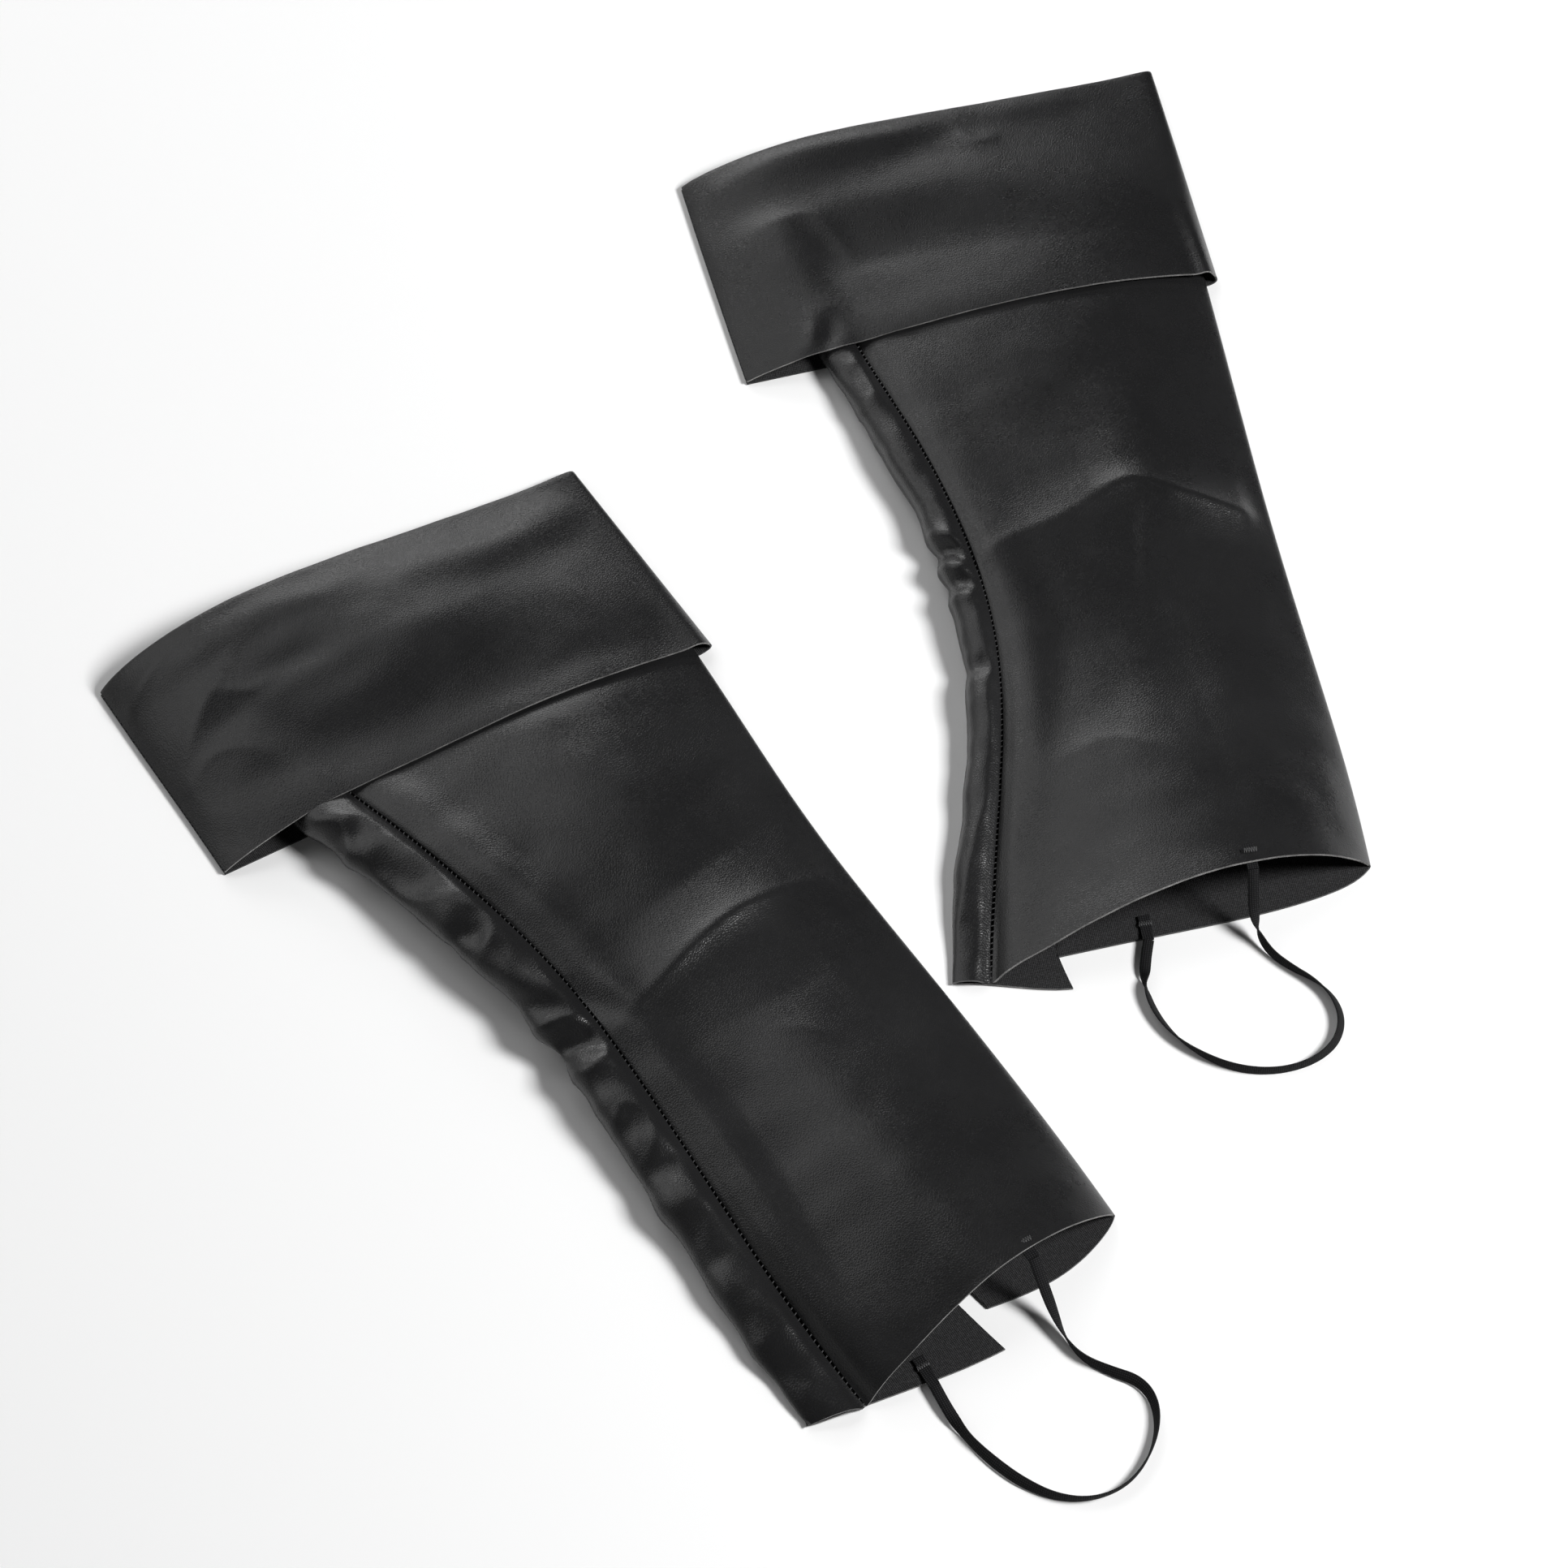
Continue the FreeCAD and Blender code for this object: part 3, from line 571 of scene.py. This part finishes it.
def inner_net(g):
    """The strip beside the back seam, the soft fold at the calf, and the rest of the lower layer with its flap."""
    net = []
    for number, row in enumerate(g["leg"]):
        front_u, front_v, calf_u, calf_v, calf_z, strip, seam_z, _, base, _, under_u = row
        line = row_frame(front_u, front_v, calf_u, calf_v)
        last = number == len(g["leg"]) - 1
        calf = line[2]
        seam = calf - strip + SEAM_GAP
        fold_z = max(0.6 * seam_z + 0.4 * calf_z, calf_z + FOLD_HEIGHT)
        flap = g["flap"] if last else 0.0
        drop = g["drop"] if last else 0.0
        points = [
            (seam, seam_z), (seam + 0.55 * strip, 0.85 * seam_z + 0.15 * fold_z), (calf + 0.5, fold_z),
            (calf + 0.5, calf_z), (calf - 8.0, 0.8 * calf_z + 0.2 * base),
        ]
        for share in (0.5, 0.2, 0.0):
            points.append((under_u + share * (calf - 8.0 - under_u), base))
        shifts = [drop, 0.5 * drop, 0.0, 0.0, 0.1 * flap, 0.6 * flap, 0.9 * flap, flap]
        net.append(row_points(line, points, shifts))
    return net


def cuff_net(g):
    """The band turned down outside the leg: upper layer, front fold and lower layer."""
    net = []
    for front_u, front_v, calf_u, calf_v, crown, lean in g["cuff"]:
        line = row_frame(front_u, front_v, calf_u, calf_v)
        width = line[2]
        points = []
        for share in (1.0, 0.97, 0.88, 0.72, 0.5, 0.28, 0.12, 0.04):
            level = CUFF_FOLD_HEIGHT * (1 - share) + CUFF_SEAM_HEIGHT * share
            rise = max(0.0, math.sin(math.pi * share ** lean))
            points.append((share * width, level + crown * rise ** 0.7))
        points += [(0.0, CUFF_FOLD_HEIGHT), (0.0, 0.0)]
        points += [(share * width, 0.0) for share in (0.08, 0.4, 0.7, 1.0)]
        net.append(row_points(line, points))
    return net


# ---------------------------------------------------------------- meshes
def new_mesh(name, points, faces, materials, indices=None, sharp=55.0):
    """A smooth-shaded object in the frame, from points in metres."""
    mesh = bpy.data.meshes.new(name)
    mesh.from_pydata([tuple(p) for p in points], [], faces)
    for material in materials:
        mesh.materials.append(material)
    if indices is not None:
        mesh.polygons.foreach_set("material_index", indices)
    mesh.polygons.foreach_set("use_smooth", [True] * len(mesh.polygons))
    mesh.update()
    mesh.set_sharp_from_angle(angle=math.radians(sharp))
    thing = bpy.data.objects.new(name, mesh)
    scene.collection.objects.link(thing)
    return thing


def cloth(name, g, grid, normal, materials, pale, thickness=SHEET):
    """A closed sheet: grid is its outer face, in the plan. materials are those of the outer face, the inner
    face, the cut edge and the other edges. pale tells at which columns the hem shows its cut edge."""
    if np.cross(grid[1, 1] - grid[0, 1], grid[1, 2] - grid[1, 1]) @ normal[1, 1] < 0:
        grid, normal = grid[:, ::-1], normal[:, ::-1]
        pale = pale[::-1]
    rows, columns = grid.shape[:2]
    back = grid - thickness * normal
    count = rows * columns
    points = np.concatenate((place(g, grid).reshape(-1, 3), place(g, back).reshape(-1, 3)))
    faces = []
    indices = []
    for r in range(rows - 1):
        for c in range(columns - 1):
            a = r * columns + c
            quad = (a, a + columns, a + columns + 1, a + 1)
            faces.append(quad)
            indices.append(0)
            faces.append(tuple(count + i for i in reversed(quad)))
            indices.append(1)
    top = list(range(columns))
    hem = [(rows - 1) * columns + c for c in range(columns)]
    seam = [r * columns for r in range(rows)]
    far = [r * columns + columns - 1 for r in range(rows)]
    for line, turn in ((top, True), (seam, False), (hem, False), (far, True)):
        for place_of, (a, b) in enumerate(zip(line, line[1:])):
            quad = (a, a + count, b + count, b) if not turn else (b, b + count, a + count, a)
            faces.append(quad)
            indices.append(2 if line is hem and pale[place_of] else 3)
    return new_mesh(name, points, faces, materials, indices)


def tube(rings, sides):
    """Faces of a closed tube of rings with sides points each."""
    faces = []
    for ring in range(rings - 1):
        for k in range(sides):
            a = ring * sides + k
            b = ring * sides + (k + 1) % sides
            faces.append((a, b, b + sides, a + sides))
    faces.append(tuple(reversed(range(sides))))
    faces.append(tuple(range((rings - 1) * sides, rings * sides)))
    return faces


def stitch(start, end, lift, thick):
    """One lock stitch: a short capsule that dips into the cloth at both ends. Everything in the plan."""
    start, end, lift = (np.asarray(p, float) for p in (start, end, lift))
    run = end - start
    length = norm(run)
    run /= length
    side = np.cross(run, lift)
    side /= norm(side)
    lift = np.cross(side, run)
    rings = []
    stations = ((0, 0.45, -0.9), (0.12, 0.9, -0.1), (0.5, 1.0, 0.25), (0.88, 0.9, -0.1), (1, 0.45, -0.9))
    for share, size, height in stations:
        middle = start + run * length * share + lift * thick * height
        for k in range(6):
            turn = k * math.pi / 3
            rings.append(middle + thick / 2 * size * (math.cos(turn) * side + math.sin(turn) * lift))
    return rings, tube(len(stations), 6)


def stitches(name, g, rows, thick=0.55):
    """All the stitches of a seam as one piece. rows lists (start, end, lift) in the plan."""
    points = []
    faces = []
    for start, end, lift in rows:
        ring_points, ring_faces = stitch(start, end, lift, thick)
        base = len(points)
        points += ring_points
        faces += [tuple(base + i for i in face) for face in ring_faces]
    return new_mesh(name, place(g, points), faces, [THREAD])


def along(line, pitch, start):
    """Points and directions at even steps along a line of plan points."""
    line = np.asarray(line, float)
    steps = norm(np.diff(line, axis=0), axis=1)
    total = np.concatenate(([0.0], np.cumsum(steps)))
    places = np.arange(start, total[-1], pitch)
    points = np.stack([np.interp(places, total, line[:, k]) for k in range(3)], 1)
    ahead = np.stack([np.interp(places + 0.5, total, line[:, k]) for k in range(3)], 1)
    behind = np.stack([np.interp(places - 0.5, total, line[:, k]) for k in range(3)], 1)
    heading = ahead - behind
    return points, heading / np.maximum(norm(heading, axis=1, keepdims=True), 1e-9)


def turn_in(grid, normal, base_z):
    """Adds the seam allowance before the first column: the cloth turns down and in beside its seam."""
    edge = grid[:, :1]
    outward = edge - grid[:, 1:2]
    outward[..., 2] = 0
    outward /= np.maximum(norm(outward, axis=2, keepdims=True), 1e-9)
    room = np.clip(edge[..., 2:] - base_z[:, None, None] - 2.8, 0.2, 7.0)
    extra = []
    extra_normal = []
    for depth, reach in ((1.0, 0.42), (0.55, 0.42), (0.22, 0.36), (0.06, 0.2)):
        point = edge + outward * reach
        point[..., 2:] -= room * depth
        extra.append(point)
        tilt = min(1.0, depth * 4)
        mixed = outward * tilt + normal[:, :1] * (1 - tilt)
        extra_normal.append(mixed / norm(mixed, axis=2, keepdims=True))
    return np.concatenate(extra + [grid], 1), np.concatenate(extra_normal + [normal], 1)


def leg_panels(g):
    """The two leg panels with their folds, and the lines of their seams."""
    name = g["name"]
    base_rows = np.array([row[8] for row in g["leg"]])
    net = outer_net(g)
    rows = even_params([r[3] for r in net], GRID_STEP, 8)
    base = cubic_basis(len(net), rows) @ base_rows

    columns = even_params(net[5], GRID_STEP, 14)
    grid = surface(net, rows, columns)
    reach = run_lengths(grid)
    fold_reach = fold_place(net, 7, columns, reach)
    upper = step_up(fold_reach - reach, 2.0, 16.0)
    heights = fold_heights(grid[..., :2], g["leg_folds"]) * upper
    heights += (0.6 * ripple(grid, 55.0, g["seed"]) + 0.36 * ripple(grid, 19.0, g["seed"] + 1)) * upper
    open_part = step_up(grid[..., 1], 95.0, 135.0)
    heights *= open_part
    groove = g["brow"] * np.exp(-((reach - 15.0) / 9.0) ** 2) - 2.2 * np.exp(-(reach / 4.5) ** 2)
    heights += groove * open_part
    normal = normals_of(grid)
    grid = grid + normal * heights[..., None]
    normal = normals_of(grid)
    outer_seam = grid[:, 0].copy()
    outer_under = grid[:, -1].copy()
    cloths = [grid[:, reach[0] < fold_reach[0, 0]]]
    pale = fold_reach[-1] > reach[-1]
    grid, normal = turn_in(grid, normal, base)
    materials = [LEG_COAT, BACKING[name], EDGE, LEG_COAT]
    outer = cloth(name + "_leg_outer_cloth", g, grid, normal, materials, [False] * 4 + list(pale))

    net = inner_net(g)
    columns = even_params(net[4], GRID_STEP * 0.75, 10)
    grid = surface(net, rows, columns)
    reach = run_lengths(grid)
    fold_reach = fold_place(net, 3, columns, reach)
    upper = step_up(fold_reach - reach, -6.0, 2.0)
    heights = fold_heights(grid[..., :2], g["strip_folds"]) * upper
    heights += (g["pucker"] * ripple(grid, 22.0, g["seed"] + 2) + 0.4 * ripple(grid, 9.0, g["seed"] + 3)) * upper
    heights *= step_up(grid[..., 1], 98.0, 122.0)
    heights *= step_up(reach, 0.0, 7.0)
    heights += g["puff"] * np.sin(math.pi * np.clip(reach / fold_reach, 0, 1)) * upper
    groove = -1.9 * np.exp(-(reach / 3.0) ** 2)
    heights += groove * step_up(grid[..., 1], 95.0, 135.0)
    heights = np.clip(heights, -6.0, 4.5)
    normal = normals_of(grid, -1.0)
    grid = grid + normal * heights[..., None]
    grid[..., 2] = np.maximum(grid[..., 2], 0.02 + 1.5 * step_up(fold_reach - reach, 2.0, 7.0))
    normal = normals_of(grid, -1.0)
    inner_seam = grid[:, 0].copy()
    inner_under = grid[:, -1].copy()
    pale = fold_reach[-1] < reach[-1]
    grid, normal = turn_in(grid, normal, base)
    inner = cloth(name + "_leg_inner_cloth", g, grid, normal, materials, [False] * 4 + list(pale))
    return outer, inner, outer_seam, inner_seam, outer_under, inner_under, cloths


def spare_height(points, cloths):
    """How far plan points (n, 3) are above the cloths below them, or 0 where there is none below."""
    under = np.concatenate([grid[(grid[..., 1] > 45.0) & (grid[..., 1] < 170.0)] for grid in cloths])
    spare = np.zeros(len(points))
    for start in range(0, len(points), 400):
        some = points[start:start + 400]
        gaps = (some[:, None, 0] - under[None, :, 0]) ** 2 + (some[:, None, 1] - under[None, :, 1]) ** 2
        high = np.where(gaps < 2.2 ** 2, under[None, :, 2], -1.0).max(1)
        spare[start:start + 400] = np.where(high >= 0, some[:, 2] - high, 0.0)
    return spare


def smoothed(values, passes):
    """Evens out a grid of values over its neighbours."""
    for _ in range(passes):
        wide = np.pad(values, 1, mode="edge")
        values = (wide[1:-1, 1:-1] * 2 + wide[:-2, 1:-1] + wide[2:, 1:-1] + wide[1:-1, :-2] + wide[1:-1, 2:]) / 6
    return values


def cuff(g, leg_cloths):
    """The cuff band with its turned top edge and raw lower edge. Its hem lies down on the leg."""
    name = g["name"]
    net = cuff_net(g)
    rows = even_params([r[4] for r in net], GRID_STEP, 8)
    columns = even_params(net[2], GRID_STEP, 14)
    grid = surface(net, rows, columns)
    reach = run_lengths(grid)
    fold_reach = fold_place(net, 8, columns, reach)
    upper = step_up(fold_reach - reach, 2.0, 16.0) * step_up(reach, 0.0, 10.0)
    heights = fold_heights(grid[..., :2], g["cuff_folds"])
    heights += g["uneven"] * (0.6 * ripple(grid, 48.0, g["seed"] + 4) + 0.36 * ripple(grid, 17.0, g["seed"] + 5))
    normal = normals_of(grid)
    grid = grid + normal * (heights * upper)[..., None]
    near_hem = step_up(grid[..., 1], 50.0, 112.0) * upper
    spare = np.zeros(upper.shape)
    spare[near_hem > 0] = spare_height(grid[near_hem > 0], leg_cloths)
    grid[..., 2] -= smoothed(np.clip(spare - CUFF_REST, 0.0, 10.0), 36) * near_hem
    normal = normals_of(grid)

    # the turned edge: half a circle over the top, then a lip that lies against the leg inside
    top = grid[:1]
    top_normal = normal[:1]
    back = top - grid[1:2]
    back /= norm(back, axis=2, keepdims=True)
    room = np.abs(top[..., 2:] - 0.6) / 3.2
    radius = np.clip(np.minimum(room, 1.25), 0.35, 1.25)
    lips = []
    lip_normals = []
    for drop in (9.0, 5.0, 2.0):
        lips.append(top - 2 * radius * top_normal - back * drop)
        lip_normals.append(-top_normal)
    for angle in (180, 150, 120, 90, 60, 30):
        turn = math.radians(angle)
        lips.append(top - radius * top_normal + radius * (math.cos(turn) * top_normal + math.sin(turn) * back))
        lip_normals.append(math.cos(turn) * top_normal + math.sin(turn) * back)
    grid = np.concatenate(lips + [grid])
    normal = np.concatenate(lip_normals + [normal])
    materials = [CUFF_COAT, BACKING[name], EDGE, CUFF_COAT]
    pale = list(fold_reach[-1] > reach[-1])
    return cloth(name + "_cuff_cloth", g, grid, normal, materials, pale, thickness=CUFF_SHEET)


def ladder(first, second, spans=(0.0, 1.0), rise=-0.4):
    """Stitches that cross a seam between two edges, slanted a little, rise mm above the face of the cloth."""
    low = int(len(first) * spans[0])
    high = max(low + 3, int(len(first) * spans[1]))
    middle = (first[low:high] + second[low:high]) / 2
    points, heading = along(middle, STITCH_PITCH, SEAM_START)
    rows = []
    for point, ahead in zip(points, heading):
        side = np.cross(ahead, (0.0, 0.0, 1.0))
        side /= norm(side)
        lift = np.cross(side, ahead)
        lift *= 1.0 if lift[2] > 0 else -1.0
        start = point - side * 1.1 - ahead * 0.4 + lift * rise
        end = point + side * 1.1 + ahead * 0.4 + lift * rise
        rows.append((start, end, lift))
    return rows


def running(line, lift):
    """Stitches that run along a line."""
    points, heading = along(line, STITCH_PITCH, SEAM_START)
    return [(p, p + h * RUNNING_STITCH, lift) for p, h in zip(points, heading)]


def ribbon(name, g):
    """The loop of flat elastic: it lies flat at its sewn ends and stands on its edge along the loop."""
    path = bpy.data.curves.new(name + "_path", "CURVE")
    path.dimensions = "3D"
    path.resolution_u = 10
    spline = path.splines.new("NURBS")
    points = place(g, g["elastic"])
    spline.points.add(len(points) - 1)
    for point, place_of in zip(spline.points, points):
        point.co = (*place_of, 1.0)
    spline.order_u = 3
    spline.use_endpoint_u = True
    guide = bpy.data.objects.new(name + "_path", path)
    line_mesh = bpy.data.meshes.new_from_object(guide)
    line = np.array([tuple(v.co) for v in line_mesh.vertices])
    bpy.data.objects.remove(guide)
    bpy.data.curves.remove(path)
    bpy.data.meshes.remove(line_mesh)

    ahead = np.gradient(line, axis=0)
    ahead /= norm(ahead, axis=1, keepdims=True)
    lengths = np.concatenate(([0.0], np.cumsum(norm(np.diff(line, axis=0), axis=1))))
    total = lengths[-1]
    turn = math.radians(g["heading"])
    across = np.array((math.sin(turn), -math.cos(turn), 0.0))
    rise_in = step_up(lengths, 0.012, 0.040)
    rise_out = step_up(total - lengths, 0.008, 0.032)
    standing = rise_in * rise_out
    swing = g["twist"] * np.sin(2 * math.pi * (1.15 * lengths / total + 0.1 * g["seed"]))
    swing += 0.5 * g["twist"] * np.sin(2 * math.pi * (3.1 * lengths / total + 0.27 * g["seed"]))
    rings = []
    uvs = []
    corners = [(-1, -0.55), (-0.92, -1), (0.92, -1), (1, -0.55), (1, 0.55), (0.92, 1), (-0.92, 1), (-1, 0.55)]
    for point, heading, stand, lean, far, length in zip(line, ahead, standing, swing, lengths > total / 2, lengths):
        flat = -across if far else across
        side = np.cross(heading, (0.0, 0.0, 1.0))
        upright = math.cos(lean) * np.array((0.0, 0.0, 1.0)) + math.sin(lean) * side
        wide = (1 - stand) * flat + stand * upright
        wide -= heading * (wide @ heading)
        wide /= norm(wide)
        thin = np.cross(heading, wide)
        for a, b in corners:
            rings.append(point + (a * ELASTIC_WIDTH / 2 * wide + b * ELASTIC_THICK / 2 * thin) / 1000)
            uvs.append((a * 2.5, length * 1000))
    piece = new_mesh(name, rings, tube(len(line), len(corners)), [ELASTIC], sharp=70)
    layer = piece.data.uv_layers.new(name="ribbon")
    for loop in piece.data.loops:
        layer.data[loop.index].uv = uvs[loop.vertex_index]
    return piece, line


def tack_piece(name, g, middle, slope, end, under):
    """The sewn end of the elastic: a short tab, under mm below the bar of zigzag stitches that holds it."""
    u, v, z = middle
    half = ELASTIC_WIDTH / 2
    points = []
    faces = []
    stations = [(v - 4.5, z - under), (v, z - under), (v + 4.0, z - under + slope * 4.0)]
    stations.append((end[1], end[2]))
    for station, (sv, sz) in enumerate(stations):
        su = u + (end[0] - u) * max(0.0, (sv - v) / (end[1] - v))
        for a, b in ((-1, -0.45), (1, -0.45), (1, 0.45), (-1, 0.45)):
            points.append((su + a * half, sv, sz + b))
        if station:
            base = (station - 1) * 4
            for k in range(4):
                faces.append((base + k, base + (k + 1) % 4, base + 4 + (k + 1) % 4, base + 4 + k))
    faces.append((3, 2, 1, 0))
    last = len(points) - 4
    faces.append((last, last + 1, last + 2, last + 3))
    indices = [0] * len(faces)
    step = 2 * TACK_HALF / TACK_STITCHES
    for k in range(TACK_STITCHES):
        across = -TACK_HALF + 2 * TACK_HALF * k / TACK_STITCHES
        sign = 1 if k % 2 else -1
        start = (u + across, v + 1.3 * sign, z + 0.42)
        finish = (u + across + step, v - 1.3 * sign, z + 0.42)
        ring_points, ring_faces = stitch(start, finish, (0, 0, 1), 0.5)
        base = len(points)
        points += ring_points
        faces += [tuple(base + i for i in face) for face in ring_faces]
        indices += [1] * len(ring_faces)
    piece = new_mesh(name, place(g, points), faces, [ELASTIC, THREAD], indices)
    layer = piece.data.uv_layers.new(name="ribbon")
    plan = [(p[0], p[1]) for p in points]
    for loop in piece.data.loops:
        layer.data[loop.index].uv = plan[loop.vertex_index]
    return piece


def settle(piece, body, nodes):
    """Says what a piece rides on, and hides the CAD nodes it stands for."""
    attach(piece, body)
    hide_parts(*nodes)


# ---------------------------------------------------------------- build
for g in GAITERS:
    side = g["name"]
    elastic, line = ribbon(side + "_stirrup_ribbon", g)
    settle(elastic, side + "_stirrup", [side + "_stirrup_elastic"])

for g in GAITERS:
    side = g["name"]
    body = side + "_gaiter"
    outer, inner, outer_seam, inner_seam, outer_under, inner_under, cloths = leg_panels(g)
    band = cuff(g, cloths)
    settle(outer, body, [side + "_leg_outer_panel"])
    settle(inner, body, [side + "_leg_inner_panel"])
    settle(band, body, [side + "_cuff_band"])

    back_seam = stitches(side + "_back_seam_stitches", g, ladder(outer_seam, inner_seam))
    settle(back_seam, body, [side + "_back_seam_thread"])
    under_rows = ladder(outer_under, inner_under, (0.02, UNDER_SEAM_SHARE), rise=0.7)
    under_seam = stitches(side + "_under_seam_stitches", g, under_rows, thick=0.4)
    settle(under_seam, body, [side + "_under_seam_thread"])

    cuff_poles = [row_frame(*row[:4]) for row in g["cuff"]]
    side_poles = [row_points(line, [(line[2] - 0.6, 1.3)])[0] for line in cuff_poles]
    side_line = cubic_basis(5, np.linspace(0, 1, 60)) @ np.array(side_poles)
    side_seam = stitches(
        side + "_cuff_side_stitches", g, [
            (p + np.array((-0.9, -0.4, 1.3)), p + np.array((0.9, 0.4, -0.2)), (0.6, 0.0, 0.8))
            for p in along(side_line, 2.4, 2.0)[0]
        ],
    )
    settle(side_seam, body, [side + "_cuff_side_seam_thread"])

    top = g["leg"][0]
    line = row_frame(top[0], top[1] - 1.0, top[2], top[3] - 1.0)
    edge = line[2] - top[5]
    shares = np.linspace(0.03, 0.97, 60)
    upper_line = row_points(line, [(edge * s, upper_height(s, top[6], top[7], top[8]) * 0.9) for s in shares])
    lower_line = row_points(line, [(edge * s, top[8] + 1.3) for s in shares])
    top_rows = running(upper_line, (0, 0, 1)) + running(lower_line, (0, 0, 1))
    top_seam = stitches(side + "_cuff_top_stitches", g, top_rows, 0.45)
    settle(top_seam, body, [side + "_cuff_top_seam_thread"])

    for which, middle, slope, end, under in (
        ("upper", g["tacks"][0], -0.3, g["elastic"][0], 2.3),
        ("lower", g["tacks"][1], 0.0, g["elastic"][-1], 0.1),
    ):
        piece = tack_piece(side + "_stirrup_" + which + "_stitches", g, middle, slope, end, under)
        settle(piece, body, [side + "_stirrup_" + which + "_tack"])


# ---------------------------------------------------------------- floor and light
floor_nodes = Nodes("pale_floor")
floor_nodes.finish(Base_Color=(0.93, 0.93, 0.93, 1.0), Roughness=0.9, Specular_IOR_Level=0.1)
floor = new_mesh("floor", [(-6, -6, 0), (6, -6, 0), (6, 6, 0), (-6, 6, 0)], [(0, 1, 2, 3)], [floor_nodes.material])
floor.location.z = -0.0002

world = bpy.data.worlds.new("studio")
scene.world = world
world.use_nodes = True
background = world.node_tree.nodes["Background"]
world_node = world.node_tree.nodes.new
world_link = world.node_tree.links.new
split = world_node("ShaderNodeSeparateXYZ")
world_link(world_node("ShaderNodeTexCoord").outputs["Generated"], split.inputs[0])


def sky_ramp(socket, stops):
    """Brightness of the surroundings along one direction."""
    ramp = world_node("ShaderNodeValToRGB")
    world_link(socket, ramp.inputs["Fac"])
    for index, (position, level) in enumerate(stops):
        element = ramp.color_ramp.elements[index] if index < 2 else ramp.color_ramp.elements.new(position)
        element.position = position
        element.color = (level, level, level, 1.0)
    return ramp.outputs["Color"]


height_light = sky_ramp(split.outputs["Z"], ((0.24, 1.0), (0.64, 0.04)))
half = world_node("ShaderNodeMath")
half.operation = "MULTIPLY_ADD"
world_link(split.outputs["X"], half.inputs[0])
half.inputs[1].default_value = 0.5
half.inputs[2].default_value = 0.5
side_light = sky_ramp(half.outputs[0], ((0.42, 1.0), (0.62, 0.04)))
product = world_node("ShaderNodeVectorMath")
product.operation = "MULTIPLY"
world_link(height_light, product.inputs[0])
world_link(side_light, product.inputs[1])
world_link(product.outputs[0], background.inputs["Color"])
background.inputs["Strength"].default_value = 0.5


def softbox(name, location, target, width, height, power):
    """A rectangular lamp that looks at a point."""
    data = bpy.data.lights.new(name, "AREA")
    data.shape = "RECTANGLE"
    data.size = width
    data.size_y = height
    data.energy = power
    lamp = bpy.data.objects.new(name, data)
    scene.collection.objects.link(lamp)
    lamp.location = location
    aim(lamp, target)


softbox("key", (2.0, -0.4, 1.9), (0, 0, 0), 0.8, 0.8, 95.0)
softbox("back_left", (-0.52, 1.83, 0.86), (0, 0.02, 0), 1.6, 0.6, 10.5)
softbox("high_back", (-0.66, 1.06, 2.1), (-0.1, 0, 0), 1.0, 0.7, 3.2)
softbox("back", (-0.53, 1.53, 1.53), (-0.1, 0, 0), 0.7, 0.6, 1.2)
softbox("left", (-1.4, 0.51, 1.34), (0, 0, 0), 1.3, 1.1, 6.0)
scene.view_settings.view_transform = "Standard"
